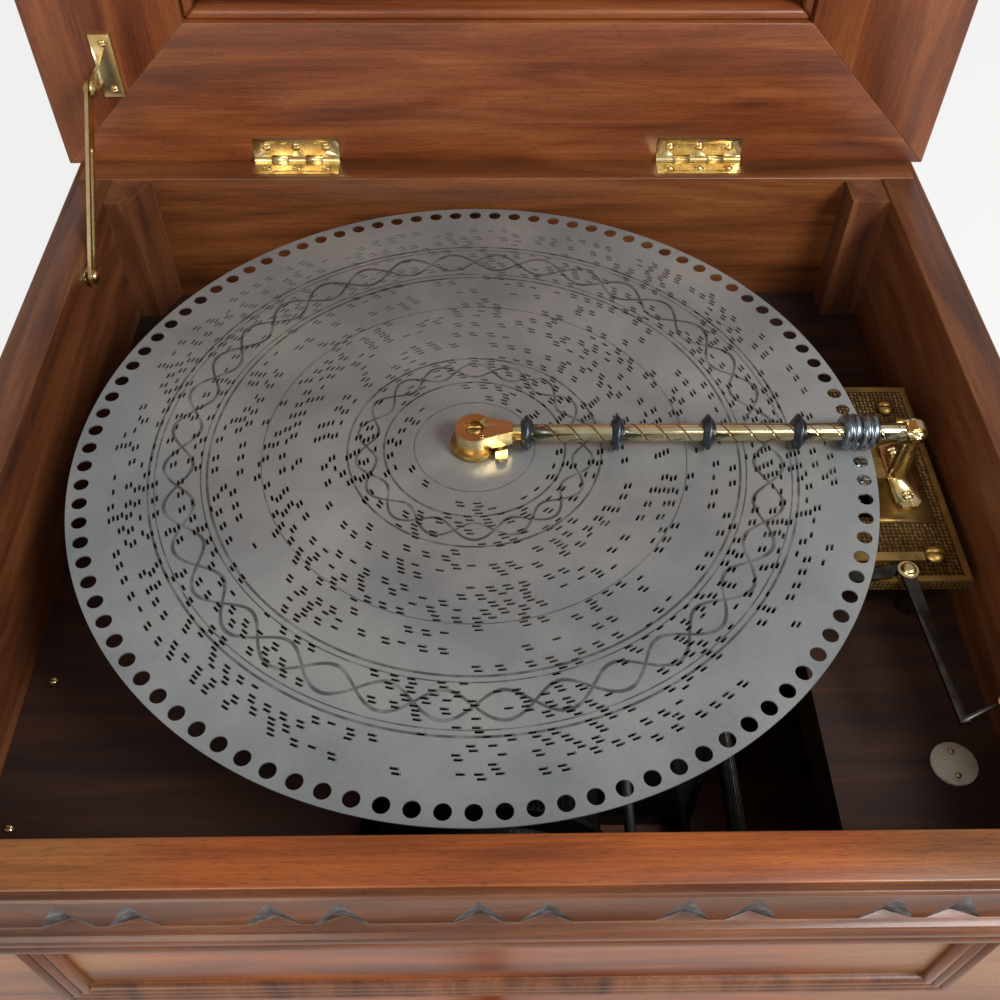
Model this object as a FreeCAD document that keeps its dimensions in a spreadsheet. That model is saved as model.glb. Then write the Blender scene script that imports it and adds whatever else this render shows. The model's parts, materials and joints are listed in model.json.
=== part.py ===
import FreeCAD, Part
import Sketcher
import math
import os
import re

from FreeCAD import Vector

# Disc music box: a table case whose hinged lid stands open. A steel tune disc lies on a
# spindle under a pressure arm with six rollers. A sprocket drives the disc by its edge holes,
# a spring motor drives the sprocket, and a lever starts and stops it.
# Millimetres. X runs to the right, Y to the back, Z up. The origin is the middle of the
# case's underside. The lid is modelled open, standing square to the case.

DOC = FreeCAD.newDocument("DiscMusicBox")
SHEET = DOC.addObject("Spreadsheet::Sheet", "Sizes")
PLACES = DOC.addObject("App::VarSet", "Places")
PROBE = DOC.addObject("App::VarSet", "Probe")
PROBE.addProperty("App::PropertyFloat", "reading")

# Driving sizes: name, value, what it is.
SIZES = [
    ("disc_wide", 394.0, "diameter of the tune disc"),
    ("disc_thick", 0.8, "sheet steel of the disc"),
    ("disc_drop", 18.5, "disc top below the case rim"),
    ("hole_in", 6.3, "ring of edge holes inside the edge of the disc"),
    ("hole_pitch", 11.982, "along the ring from hole to hole"),
    ("hole_bore", 7.3, "diameter of an edge hole"),
    ("room_deep", 14.0, "case depth beyond the disc"),
    ("room_wide", 72.4, "case width beyond the disc"),
    ("spindle_left", 14.4, "spindle left of the middle of the case"),
    ("works_back", 2.5, "spindle behind the middle of the case"),
    ("case_tall", 222.0, "underside to rim"),
    ("wall", 19.3, "case boards"),
    ("floor_thick", 12.0, "bottom board"),
    ("deck_drop", 88.0, "deck top below the rim"),
    ("deck_thick", 12.0, "deck boards"),
    ("well_left", 66.0, "left edge of the motor well"),
    ("well_right", 150.0, "right edge of the motor well"),
    ("well_back", 75.0, "back edge of the motor well"),
    ("cleat", 15.0, "square strips under the deck"),
    ("post_side", 22.0, "corner posts, right one square"),
    ("post_slim", 14.0, "front face of the left corner post"),
    ("bead_out", 4.0, "top bead of the case moulding"),
    ("bead_tall", 4.0, "height of the top bead"),
    ("band_out", 3.6, "notched band"),
    ("band_tall", 20.0, "height of the notched band"),
    ("band_lean", 0.9, "how far the band leans out at its foot"),
    ("ledge_out", 7.5, "ledge below the band"),
    ("reed_round", 3.0, "radius of the two reeds"),
    ("reed_tall", 7.4, "height taken by one reed"),
    ("chip_wide", 21.0, "base of a carved notch"),
    ("chip_deep", 3.4, "depth of a carved notch"),
    ("chip_gap", 24.7, "between the two notches of a pair"),
    ("chip_pitch", 74.3, "between pairs of notches"),
    ("chip_pairs", 7, "pairs along the front"),
    ("side_pairs", 5, "pairs along each side"),
    ("strip_wide", 16.0, "reeded strips round the panels"),
    ("strip_thick", 4.0, "how far the strips stand out"),
    ("strip_drop", 125.0, "lower edge of the panel frames below the rim"),
    ("strip_spread", 0.83, "half width of a panel frame over half the board"),
    ("plinth_tall", 30.0, "base moulding"),
    ("plinth_out", 13.0, "how far the base stands out"),
    ("lid_over", 10.5, "lid beyond the case at front and sides"),
    ("lid_tall", 72.0, "height of the lid"),
    ("lid_board", 88.0, "width of the mitred lid frame"),
    ("lid_board_thick", 16.0, "thickness of the mitred lid frame"),
    ("lid_bead", 6.0, "bead round the lid panel"),
    ("lid_panel_thick", 6.0, "panel inside the lid"),
    ("lid_side_thick", 14.0, "boards round the lid"),
    ("lid_top_thick", 10.0, "board on the lid"),
    ("lid_lip", 5.0, "moulded lip round the lid"),
    ("lid_lip_tall", 14.0, "height of the moulded lip"),
    ("lid_gap", 0.8, "between lid and rim when shut"),
    ("lid_tail", 2.5, "lid beyond the hinge axis"),
    ("hinge_long", 52.0, "length of a hinge"),
    ("hinge_leaf", 14.0, "width of a hinge leaf"),
    ("hinge_thick", 1.2, "thickness of a leaf"),
    ("hinge_apart", 246.0, "between the two hinges"),
    ("knuckle", 2.5, "radius of the knuckles"),
    ("hinge_pin", 1.2, "radius of a hinge pin"),
    ("stay_reach", 95.5, "case screw in front of the hinge axis"),
    ("stay_drop", 12.9, "case screw below the hinge axis"),
    ("ear_out", 18.0, "stay pivot in front of the lid"),
    ("ear_up", 56.7, "stay pivot above the hinge axis"),
    ("stay_wide", 9.5, "width of the stay bar"),
    ("stay_thick", 2.0, "thickness of the stay bar"),
    ("stay_slot", 3.6, "width of the slot"),
    ("bed_drop", 45.0, "bedplate top below the rim"),
    ("bed_thick", 6.0, "bedplate"),
    ("bed_half", 66.0, "half the depth of the bedplate"),
    ("bed_left", 31.0, "bedplate left of the spindle"),
    ("bed_past", 48.7, "bedplate right of the edge holes"),
    ("bed_rim", 3.2, "raised border of the bedplate"),
    ("bed_leg", 7.0, "radius of the bedplate legs"),
    ("roller_round", 8.9, "radius of the rollers"),
    ("roller_gap", 44.6, "between thin rollers"),
    ("roller_first", 25.7, "first thin roller from the spindle"),
    ("roller_thin", 6.0, "width of a thin roller"),
    ("wide_in", 5.7, "inner wide roller inside the ring of holes"),
    ("wide_gap", 8.8, "between the wide rollers"),
    ("wide_thick", 8.4, "width of a wide roller"),
    ("tube_round", 4.4, "radius of the arm tube"),
    ("arm_past", 21.0, "arm hinge beyond the edge of the disc"),
    ("head_round", 9.3, "radius of the arm head"),
    ("flange_round", 11.8, "radius of the centre flange"),
    ("spindle_round", 3.0, "radius of the spindle pin"),
    ("star_round", 5.5, "radius of the star wheels"),
    ("star_count", 60, "star wheels"),
    ("star_points", 10, "points of a star wheel"),
    ("lug_deep", 1.5, "height of the lugs under the disc"),
    ("comb_first", 30.0, "combs start this far from the spindle"),
    ("comb_long", 140.0, "length of each comb"),
    ("tooth_count", 72, "teeth of each comb"),
    ("tooth_long", 33.0, "length of the teeth"),
    ("comb_deep", 52.0, "teeth and root together"),
    ("sprocket_teeth", 12, "teeth of the drive sprocket"),
    ("drive_module", 1.0233, "module of the sprocket gears"),
    ("drive_small", 20, "teeth on the sprocket shaft"),
    ("drive_large", 40, "teeth on the drive shaft"),
    ("mitre_teeth", 24, "teeth of each mitre gear"),
    ("mitre_module", 1.1667, "module of the mitre gears"),
    ("great_teeth", 84, "teeth of the great wheel"),
    ("great_pinion", 12, "pinion driven by the great wheel"),
    ("great_module", 1.35, "module of the great wheel"),
    ("fast_teeth", 72, "teeth of the fast wheel"),
    ("fast_pinion", 12, "pinion driven by the fast wheel"),
    ("fast_module", 0.7, "module of the fast wheel"),
    ("fly_teeth", 60, "teeth of the wheel that turns the fly"),
    ("fly_pinion", 12, "teeth of the fly's pinion"),
    ("fly_module", 0.6, "module of the fly's wheel"),
    ("barrel_left", 8.0, "barrel left of the middle of the case"),
    ("barrel_drop", 95.5, "barrel axis below the rim"),
    ("barrel_round", 50.0, "radius of the barrel"),
    ("barrel_cap", 53.0, "radius of the barrel's rims"),
    ("barrel_long", 50.0, "length of the barrel"),
    ("motor_in", 18.0, "motor frame behind the front board"),
    ("motor_plate", 4.0, "motor frame plates"),
    ("motor_deep", 76.0, "motor frame front to back"),
    ("arbor_round", 5.0, "radius of the winding arbor"),
    ("ratchet_teeth", 24, "teeth of the ratchet wheel"),
    ("ratchet_round", 18.0, "radius of the ratchet wheel"),
    ("wind_teeth", 52, "teeth of the winding wheel on the barrel arbor"),
    ("wind_pinion", 28, "teeth of the pinion on the crank shaft"),
    ("wind_module", 1.5, "module of the winding wheel and pinion"),
    ("crank_stand", 24.0, "end of the crank shaft in front of the case"),
    ("crank_long", 50.0, "throw of the winding crank"),
    ("knob_long", 34.0, "length of the crank knob"),
    ("shaft_round", 2.5, "radius of the shafts"),
    ("running", 0.05, "radial clearance of shafts"),
    ("fan_round", 13.0, "reach of the fly's vanes"),
    ("lever_out", 61.5, "lever pivot in front of the spindle"),
    ("lever_past", 17.2, "lever pivot right of the edge holes"),
    ("lever_long", 81.0, "length of the lever"),
    ("lever_wide", 6.5, "width of the lever"),
    ("plate_round", 10.8, "radius of the lever's plate"),
]

# Derived places: name and the expression that gives it.
FORMULAS = [
    ("half_wide", "(disc_wide + room_wide) / 2"),
    ("half_deep", "(disc_wide + room_deep) / 2"),
    ("out_wide", "half_wide + wall"),
    ("out_deep", "half_deep + wall"),
    ("rim", "case_tall"),
    ("deck_top", "case_tall - deck_drop"),
    ("deck_low", "deck_top - deck_thick"),
    ("hub_x", "-spindle_left"),
    ("hub_y", "works_back"),
    ("disc_top", "case_tall - disc_drop"),
    ("disc_low", "disc_top - disc_thick"),
    ("hole_ring", "disc_wide / 2 - hole_in"),
    ("hole_count", "round(2 * pi * hole_ring / hole_pitch)"),
    ("edge_x", "hub_x + hole_ring"),
    ("wide_first", "hole_ring - wide_in"),
    ("strip_low", "rim - strip_drop"),
    ("arm_z", "disc_top + roller_round + 0.1"),
    ("arm_x", "hub_x + disc_wide / 2 + arm_past"),
    ("star_z", "disc_low - lug_deep - 0.4 - star_round"),
    ("bed_top", "case_tall - bed_drop"),
    ("bed_low", "bed_top - bed_thick"),
    ("bed_west", "hub_x - bed_left"),
    ("bed_east", "edge_x + bed_past"),
    ("comb_west", "hub_x + comb_first"),
    ("comb_east", "comb_west + comb_long"),
    ("comb_near", "star_round + 0.8"),
    ("comb_far", "comb_near + comb_deep"),
    ("comb_top", "star_z + 1.1"),
    ("comb_low", "star_z - 1.1"),
    ("sprocket_round", "hole_ring * sprocket_teeth / hole_count"),
    ("sprocket_z", "disc_top - disc_thick / 2 - sprocket_round"),
    ("drive_gap", "drive_module * (drive_small + drive_large) / 2"),
    ("drive_z", "sprocket_z - drive_gap"),
    ("gear_x", "edge_x + 8"),
    ("mitre_round", "mitre_module * mitre_teeth / 2"),
    ("barrel_x", "-barrel_left"),
    ("barrel_z", "case_tall - barrel_drop"),
    ("crank_z", "barrel_z - wind_module * (wind_teeth + wind_pinion) / 2"),
    ("great_gap", "great_module * (great_teeth + great_pinion) / 2"),
    ("motor_west", "barrel_x - 54"),
    ("cross_x", "barrel_x + sqrt(great_gap^2 - (drive_z - barrel_z)^2)"),
    ("motor_front", "motor_in - half_deep"),
    ("motor_back", "motor_front + motor_deep"),
    ("great_y", "motor_back - motor_plate - 9"),
    ("barrel_y", "great_y - 3 - barrel_long"),
    ("fast_y", "motor_back + 6"),
    ("fast_gap", "fast_module * (fast_teeth + fast_pinion) / 2"),
    ("fan_arbor_x", "cross_x + fast_gap * 0.94"),
    ("fan_arbor_z", "drive_z - sqrt(fast_gap^2 - (fast_gap * 0.94)^2)"),
    ("fly_gap", "fly_module * (fly_teeth + fly_pinion) / 2"),
    ("fly_x", "fan_arbor_x + fly_gap * 0.5"),
    ("fly_z", "fan_arbor_z + fly_gap * sqrt(3) / 2"),
    ("fly_end", "motor_back + 32.5"),
    ("motor_east", "fly_x + 14"),
    ("lever_x", "edge_x + lever_past"),
    ("lever_y", "hub_y - lever_out"),
    ("hinge_y", "out_deep + 0.1"),
    ("hinge_z", "rim + lid_gap / 2"),
    ("lid_face", "hinge_y + lid_gap / 2"),
    ("lid_half", "out_wide + lid_over"),
    ("lid_foot", "hinge_z - lid_tail"),
    ("lid_head", "hinge_z + hinge_y + out_deep + lid_over"),
    ("stay_x", "-half_wide + 1.9"),
    ("screw_y", "hinge_y - stay_reach"),
    ("screw_z", "hinge_z - stay_drop"),
    ("ear_y", "lid_face - ear_out"),
    ("ear_z", "hinge_z + ear_up"),
]

DRIVING = {name for name, value, note in SIZES}
DERIVED = {name for name, text in FORMULAS}
NODES = []


def qualified(text):
    """Put the owner's name before each size or place in an expression."""
    def swap(found):
        word = found.group(0)
        if word in DRIVING:
            return "Sizes." + word
        if word in DERIVED:
            return "Places." + word
        return word
    return re.sub(r"[a-z_]+[a-z0-9_]*", swap, str(text))


def fill_sheet():
    for row, (name, value, note) in enumerate(SIZES, start=1):
        SHEET.set("A%d" % row, note)
        SHEET.set("B%d" % row, str(value))
        SHEET.setAlias("B%d" % row, name)
    DOC.recompute()


def fill_places():
    for name, text in FORMULAS:
        PLACES.addProperty("App::PropertyFloat", name)
        PLACES.setExpression(name, qualified(text))
        PLACES.recompute()


def num(text):
    """The value of an expression, for shapes that Part makes directly."""
    PROBE.setExpression("reading", qualified(text))
    PROBE.recompute()
    return PROBE.reading


def whole(text):
    return int(round(num(text)))


def bind(thing, sizes):
    for prop, text in sizes.items():
        thing.setExpression(prop, qualified(text))


TURNS = {
    "Z": FreeCAD.Rotation(),
    "X": FreeCAD.Rotation(Vector(0, 1, 0), 90),
    "Y": FreeCAD.Rotation(Vector(1, 0, 0), -90),
    "-Y": FreeCAD.Rotation(Vector(1, 0, 0), 90),
}


def seat(thing, at, turn=None):
    """Place a thing by three expressions and an optional fixed rotation."""
    if turn is not None:
        thing.Placement = FreeCAD.Placement(Vector(0, 0, 0), turn)
    for axis, text in zip("xyz", at):
        thing.setExpression("Placement.Base." + axis, qualified(text))
    return thing


def box(name, low, high):
    """A box between two corners given as expressions."""
    thing = DOC.addObject("Part::Box", name)
    spans = ["(%s) - (%s)" % (top, bottom) for bottom, top in zip(low, high)]
    bind(thing, dict(zip(("Length", "Width", "Height"), spans)))
    return seat(thing, low)


def rod(name, radius, length, at, axis="Z"):
    thing = DOC.addObject("Part::Cylinder", name)
    bind(thing, {"Radius": radius, "Height": length})
    return seat(thing, at, TURNS[axis])


def cone(name, radius, tip, length, at, axis="Z"):
    thing = DOC.addObject("Part::Cone", name)
    bind(thing, {"Radius1": radius, "Radius2": tip, "Height": length})
    return seat(thing, at, TURNS[axis])


def ball(name, radius, at):
    thing = DOC.addObject("Part::Sphere", name)
    bind(thing, {"Radius": radius})
    return seat(thing, at)


def cut(name, base, *tools):
    thing = DOC.addObject("Part::Cut", name)
    thing.Base = base
    thing.Tool = tools[0] if len(tools) == 1 else join(name + "_tools", *tools)
    return thing


def join(name, *parts):
    thing = DOC.addObject("Part::MultiFuse", name)
    thing.Shapes = list(parts)
    return thing


def group(name, *parts):
    thing = DOC.addObject("Part::Compound", name)
    thing.Links = list(parts)
    return thing


def shaped(name, shape):
    """A thing whose shape Part works out directly from the sizes."""
    thing = DOC.addObject("Part::Feature", name)
    thing.Shape = shape
    return thing


def keep(thing, label):
    """Name a finished piece. Its label is its node and its file."""
    thing.Label = label
    NODES.append(thing)
    return thing


def new_body(name):
    return DOC.addObject("PartDesign::Body", name)


def base_plane(body, role):
    for feature in body.Origin.OriginFeatures:
        if feature.Role == role:
            return feature
    raise ValueError(role)


def outline(body, name, points, role="XY_Plane"):
    """A closed sketch of straight lines through corners given as expressions."""
    sketch = body.newObject("Sketcher::SketchObject", name)
    sketch.AttachmentSupport = [(base_plane(body, role), "")]
    sketch.MapMode = "FlatFace"
    spots = [(num(across), num(up)) for across, up in points]
    count = len(spots)
    for index in range(count):
        start = Vector(*spots[index], 0)
        end = Vector(*spots[(index + 1) % count], 0)
        sketch.addGeometry(Part.LineSegment(start, end), False)
    for index in range(count):
        follower = (index + 1) % count
        sketch.addConstraint(Sketcher.Constraint("Coincident", index, 2, follower, 1))
    for index, (across, up) in enumerate(points):
        for kind, spot, text in (("DistanceX", spots[index][0], across),
                                 ("DistanceY", spots[index][1], up)):
            rule = Sketcher.Constraint(kind, -1, 1, index, 1, spot)
            number = sketch.addConstraint(rule)
            sketch.setExpression("Constraints[%d]" % number, qualified(text))
    return sketch


def ring_sketch(body, name, circles, role="XY_Plane"):
    """A sketch of circles, each given as centre and radius expressions."""
    sketch = body.newObject("Sketcher::SketchObject", name)
    sketch.AttachmentSupport = [(base_plane(body, role), "")]
    sketch.MapMode = "FlatFace"
    for index, (across, up, radius) in enumerate(circles):
        spot = Vector(num(across), num(up), 0)
        sketch.addGeometry(Part.Circle(spot, Vector(0, 0, 1), num(radius)), False)
        for kind, value, text in (("DistanceX", spot.x, across), ("DistanceY", spot.y, up)):
            number = sketch.addConstraint(Sketcher.Constraint(kind, -1, 1, index, 3, value))
            sketch.setExpression("Constraints[%d]" % number, qualified(text))
        number = sketch.addConstraint(Sketcher.Constraint("Radius", index, num(radius)))
        sketch.setExpression("Constraints[%d]" % number, qualified(radius))
    return sketch


def padded(body, sketch, length, name="Pad"):
    pad = body.newObject("PartDesign::Pad", name)
    pad.Profile = sketch
    bind(pad, {"Length": length})
    body.Tip = pad
    return pad


def slab(name, points, low, high, holes=()):
    """A flat piece with a straight-sided outline, lying between two heights."""
    body = new_body(name)
    padded(body, outline(body, name + "_outline", points), "(%s) - (%s)" % (high, low))
    seat(body, ("0", "0", low))
    if holes:
        circles = ring_sketch(body, name + "_holes", holes)
        DOC.recompute()
        pocket = body.newObject("PartDesign::Pocket", name + "_bores")
        pocket.Profile = circles
        pocket.Type = "ThroughAll"
        pocket.Midplane = True
        body.Tip = pocket
    return body


def turned(name, points, at, axis="Z"):
    """A piece turned about its own axis. Points are radius and height."""
    body = new_body(name)
    sketch = outline(body, name + "_outline", points, "XZ_Plane")
    turn = body.newObject("PartDesign::Revolution", name + "_turn")
    turn.Profile = sketch
    turn.ReferenceAxis = (sketch, ["V_Axis"])
    turn.Angle = 360
    body.Tip = turn
    return seat(body, at, TURNS[axis])


def polygon_face(spots):
    return Part.Face(Part.makePolygon([Vector(*spot) for spot in spots + spots[:1]]))


def skinned(near, far):
    """A solid between two outlines with the same number of corners, its sides flat."""
    count = len(near)
    faces = [polygon_face(near), polygon_face(far)]
    for index in range(count):
        after = (index + 1) % count
        faces.append(polygon_face([near[index], near[after], far[after], far[index]]))
    solid = Part.makeSolid(Part.makeShell(faces))
    if solid.Volume < 0:
        solid.reverse()
    return solid


def polar(radius, angle):
    return (radius * math.cos(angle), radius * math.sin(angle))


# Gear teeth: stub teeth with straight flanks through root, pitch and tip.
TOOTH_ADDENDUM = 0.72
TOOTH_DEDENDUM = 0.98
TOOTH_BACKLASH = 0.16
PRESSURE = math.radians(20)


def half_angle(teeth, module, radius, pitch):
    """Half the tooth's angle at a radius, from the involute of the base circle."""
    base = pitch * math.cos(PRESSURE)
    turn = math.acos(min(1.0, base / max(radius, base)))
    roll = math.tan(turn) - turn
    start = math.tan(PRESSURE) - PRESSURE
    thick = math.pi * module / 2 - TOOTH_BACKLASH
    return thick / (2 * pitch) + start - roll


def gear_outline(teeth, module, first=0.0):
    pitch = module * teeth / 2
    root = pitch - TOOTH_DEDENDUM * module
    tip = pitch + TOOTH_ADDENDUM * module
    levels = (root, (root + pitch) / 2, pitch, (pitch + tip) / 2, tip)
    spots = []
    for number in range(teeth):
        middle = first + 2 * math.pi * number / teeth
        rising = [(r, middle - half_angle(teeth, module, r, pitch)) for r in levels]
        falling = [(r, middle + half_angle(teeth, module, r, pitch)) for r in levels]
        for radius, angle in rising + falling[::-1]:
            spots.append(polar(radius, angle))
    return spots


def gear(teeth, module, width, at, axis, first=0.0, bore=0.0):
    """A spur gear whose near face stands at a point, its width running along the axis."""
    face = polygon_face([(x, y, 0) for x, y in gear_outline(teeth, module, first)])
    solid = face.extrude(Vector(0, 0, width))
    if bore > 0:
        solid = solid.cut(Part.makeCylinder(bore, width + 2, Vector(0, 0, -1)))
    solid.Placement = FreeCAD.Placement(Vector(*at), TURNS[axis])
    return solid


def mitre_gear(teeth, module, at, turn, first=0.0):
    """A bevel gear of 45 degrees whose cone point is at a given spot."""
    pitch = module * teeth / 2
    shrink = 0.62
    outer = [(x, y, pitch) for x, y in gear_outline(teeth, module, first)]
    inner = [(x * shrink, y * shrink, pitch * shrink) for x, y, z in outer]
    solid = skinned(inner, outer)
    solid.Placement = FreeCAD.Placement(Vector(*at), turn)
    return solid


def bar_shape(radius, length, at, axis):
    solid = Part.makeCylinder(radius, length)
    solid.Placement = FreeCAD.Placement(Vector(*at), TURNS[axis])
    return solid


def make_case_boards():
    base = box("BottomBoard", ("-out_wide", "-out_deep", "0"), ("out_wide", "out_deep", "floor_thick"))
    keep(base, "bottom_board")
    front = box("FrontBoard", ("-out_wide", "-out_deep", "floor_thick"), ("out_wide", "-half_deep", "rim"))
    hole = rod("CrankHole", "arbor_round + 1", "wall + 2", ("barrel_x", "-out_deep - 1", "crank_z"), "Y")
    keep(cut("FrontWall", front, hole), "front_wall")
    back = box("BackBoard", ("-out_wide", "half_deep", "floor_thick"), ("out_wide", "out_deep", "rim"))
    rests = []
    for side in (-1, 1):
        low = ("%d * hinge_apart / 2 - hinge_long / 2 - 0.1" % side, "hinge_y - hinge_leaf - 0.1",
               "rim - hinge_thick")
        high = ("%d * hinge_apart / 2 + hinge_long / 2 + 0.1" % side, "out_deep + 1", "rim + 1")
        rests.append(box("HingeRest%d" % side, low, high))
    start = ("-out_wide - 1", "hinge_y", "hinge_z")
    hollow = rod("KnuckleHollow", "knuckle + 0.3", "2 * out_wide + 2", start, "X")
    wide = [box("KnuckleSpan%d" % side, ("%d * hinge_apart / 2 - hinge_long / 2 - 0.1" % side, "hinge_y - 5",
                "rim - 6"), ("%d * hinge_apart / 2 + hinge_long / 2 + 0.1" % side, "out_deep + 5", "rim + 5"))
            for side in (-1, 1)]
    spans = DOC.addObject("Part::Common", "KnuckleCuts")
    spans.Base = hollow
    spans.Tool = join("KnuckleSpans", *wide)
    keep(cut("BackWall", back, *rests, spans), "back_wall")
    walls = []
    for side in (-1, 1):
        inner, outer = "%d * half_wide" % side, "%d * out_wide" % side
        west, east = (outer, inner) if side < 0 else (inner, outer)
        walls.append(box("Side%d" % side, (west, "-half_deep", "floor_thick"), (east, "half_deep", "rim")))
    keep(group("SideWalls", *walls), "side_walls")


def corner_posts():
    """Posts that stand in the two back corners, the left one with a slanted face."""
    left = slab("LeftPost", [("-half_wide", "half_deep - post_side"),
                             ("post_slim - half_wide", "half_deep - post_side"),
                             ("post_side + 2 - half_wide", "half_deep"), ("-half_wide", "half_deep")],
                "deck_top", "rim - 1.5")
    right = box("RightPost", ("half_wide - post_side", "half_deep - post_side", "deck_top"),
                ("half_wide", "half_deep", "rim - 1.5"))
    return [left, right]


def make_deck():
    """Boards round the motor well, and the strips that carry them."""
    back = box("DeckBack", ("-half_wide", "well_back", "deck_low"), ("half_wide", "half_deep", "deck_top"))
    left = box("DeckLeft", ("-half_wide", "-half_deep", "deck_low"), ("-well_left", "well_back", "deck_top"))
    right = box("DeckRight", ("well_right", "-half_deep", "deck_low"), ("half_wide", "well_back", "deck_top"))
    slot = box("GearSlot", ("gear_x - 3", "hub_y - 25", "deck_low - 1"),
               ("gear_x + 8", "hub_y + 25", "deck_top + 1"))
    right_cut = cut("DeckRightCut", right, slot)
    strips = [
        box("CleatLeft", ("-half_wide", "-half_deep", "deck_low - cleat"),
            ("cleat - half_wide", "half_deep", "deck_low")),
        box("CleatRight", ("half_wide - cleat", "-half_deep", "deck_low - cleat"),
            ("half_wide", "half_deep", "deck_low")),
        box("CleatBack", ("cleat - half_wide", "half_deep - cleat", "deck_low - cleat"),
            ("half_wide - cleat", "half_deep", "deck_low")),
        box("JoistLeft", ("-well_left - cleat", "-half_deep", "deck_low - cleat"),
            ("-well_left", "half_deep - cleat", "deck_low")),
        box("JoistRight", ("well_right", "-half_deep", "deck_low - cleat"),
            ("well_right + cleat", "half_deep - cleat", "deck_low")),
    ]
    keep(group("DeckBoards", back, left, right_cut), "deck_boards")
    keep(group("InnerStrips", *strips, *corner_posts()), "inner_strips")


def moulding_profile():
    """Outward reach and drop below the rim: bead, notched band, ledge and two reeds."""
    bead, band, ledge = num("bead_out"), num("band_out"), num("ledge_out")
    low_bead, low_band = num("bead_tall"), num("bead_tall + band_tall")
    reach, tall, round_ = num("ledge_out"), num("reed_tall"), num("reed_round")
    spots = [(0, 0.6), (bead - 1.2, 0.6), (bead, 1.8), (bead, low_bead - 0.8), (band, low_bead),
             (band + num("band_lean"), low_band), (ledge, low_band + 1.0)]
    for reed in range(2):
        middle = low_band + 1.0 + tall * (reed + 0.5)
        for step in range(7):
            angle = math.radians(75 - 25 * step)
            spots.append((reach + round_ * 0.8 * math.cos(angle), middle - round_ * math.sin(angle)))
        spots.append((reach - 0.6, middle + tall / 2))
    spots.append((0, low_band + 1.0 + 2 * tall))
    return spots


def run_moulding(profile, top, reach=(0, 0)):
    """Three mitred lengths of a moulding: the front and the two sides."""
    wide, deep = num("out_wide"), num("out_deep")
    lengths = []
    corners = [(-wide, deep), (-wide, -deep), (wide, -deep), (wide, deep)]
    outward = [(-1, 0), (-1, -1), (1, -1), (1, 0)]
    for index in range(3):
        rings = []
        for end in (index, index + 1):
            (x, y), (dx, dy) = corners[end], outward[end]
            rings.append([Vector(x + dx * out, y + dy * out, top - drop) for out, drop in profile])
        lengths.append(skinned(*rings))
    return lengths


def chip(middle, side):
    """A carved notch: a point at the top of the band, widest and deepest at its foot."""
    reach = num("band_out + band_lean")
    high = num("rim - bead_tall - 0.6")
    low = num("rim - bead_tall - band_tall")
    half, deep = num("chip_wide / 2"), num("chip_deep")
    wide, far = num("out_wide"), num("out_deep")

    def spot(along, out, z):
        if side == 0:
            return Vector(along, -(far + out), z)
        return Vector(side * (wide + out), along, z)

    top = num("band_out")
    corners = [spot(middle - half, reach + 0.05, low), spot(middle + half, reach + 0.05, low),
               spot(middle, top + 0.05, high), spot(middle, reach - deep, low)]
    trios = ((0, 1, 2), (0, 1, 3), (1, 2, 3), (0, 2, 3))
    faces = [polygon_face([corners[i] for i in trio]) for trio in trios]
    solid = Part.makeSolid(Part.makeShell(faces))
    if solid.Volume < 0:
        solid.reverse()
    return solid


def make_case_mouldings():
    """The bead, the carved band and the reeds under the rim, on front and sides."""
    lengths = run_moulding(moulding_profile(), num("rim"))
    pitch, gap = num("chip_pitch"), num("chip_gap")
    for index, (side, pairs) in enumerate(((-1, whole("side_pairs")), (0, whole("chip_pairs")),
                                           (1, whole("side_pairs")))):
        chips = []
        for pair in range(pairs):
            middle = (pair - (pairs - 1) / 2) * pitch
            chips += [chip(middle + step * gap / 2, side) for step in (-1, 1)]
        lengths[index] = lengths[index].cut(Part.makeCompound(chips))
    keep(shaped("NotchedMoulding", Part.makeCompound(lengths)), "notched_moulding")


def reed_profile():
    """Across a reeded strip: distance in from its outer edge, and height of the three reeds."""
    wide, thick = num("strip_wide"), num("strip_thick")
    each = wide / 3
    spots = [(0, 0)]
    for reed in range(3):
        for step in range(7):
            angle = math.radians(180 - 30 * step)
            rise = thick * (0.3 + 0.7 * math.sin(angle))
            spots.append((each * (reed + 0.5) + each * 0.48 * math.cos(angle), rise))
    return spots + [(wide, 0)]


def reeded_frame(half, place):
    """Two uprights and a rail below them, mitred at the lower corners."""
    top = num("rim - bead_tall - band_tall - 1 - 2 * reed_tall")
    low = num("strip_low")
    corners = [(-half, top), (-half, low), (half, low), (half, top)]
    inward = [(1, 0), (1, 1), (-1, 1), (-1, 0)]
    strips = []
    for index in range(3):
        rings = []
        for end in (index, index + 1):
            (along, up), (da, du) = corners[end], inward[end]
            rings.append([place(along + da * w, up + du * w, out) for w, out in reed_profile()])
        strips.append(skinned(*rings))
    return strips


def make_panel_frames():
    """Reeded strips that frame the flat panels of the front and the sides."""
    wide, deep = num("out_wide"), num("out_deep")
    strips = reeded_frame(num("half_wide * strip_spread"),
                          lambda along, up, out: Vector(along, -deep - out, up))
    for side in (-1, 1):
        strips += reeded_frame(num("half_deep * strip_spread"),
                               lambda along, up, out: Vector(side * (wide + out), along, up))
    keep(shaped("PanelFrames", Part.makeCompound(strips)), "panel_frames")


def make_plinth():
    """The base moulding: a flat foot with a hollow curve above it."""
    out, tall = num("plinth_out"), num("plinth_tall")
    curve = 9
    spots = [(0, 0), (out, 0), (out, tall - curve - 4)]
    for step in range(5):
        angle = math.radians(90 * step / 4)
        spots.append((out - 1 - (curve - 1) * math.sin(angle), tall - 3 - curve * math.cos(angle)))
    spots += [(out - curve, tall), (0, tall)]
    profile = [(reach, tall - height) for reach, height in spots]
    lengths = run_moulding(profile, tall)
    keep(shaped("Plinth", Part.makeCompound(lengths)), "plinth")


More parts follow.
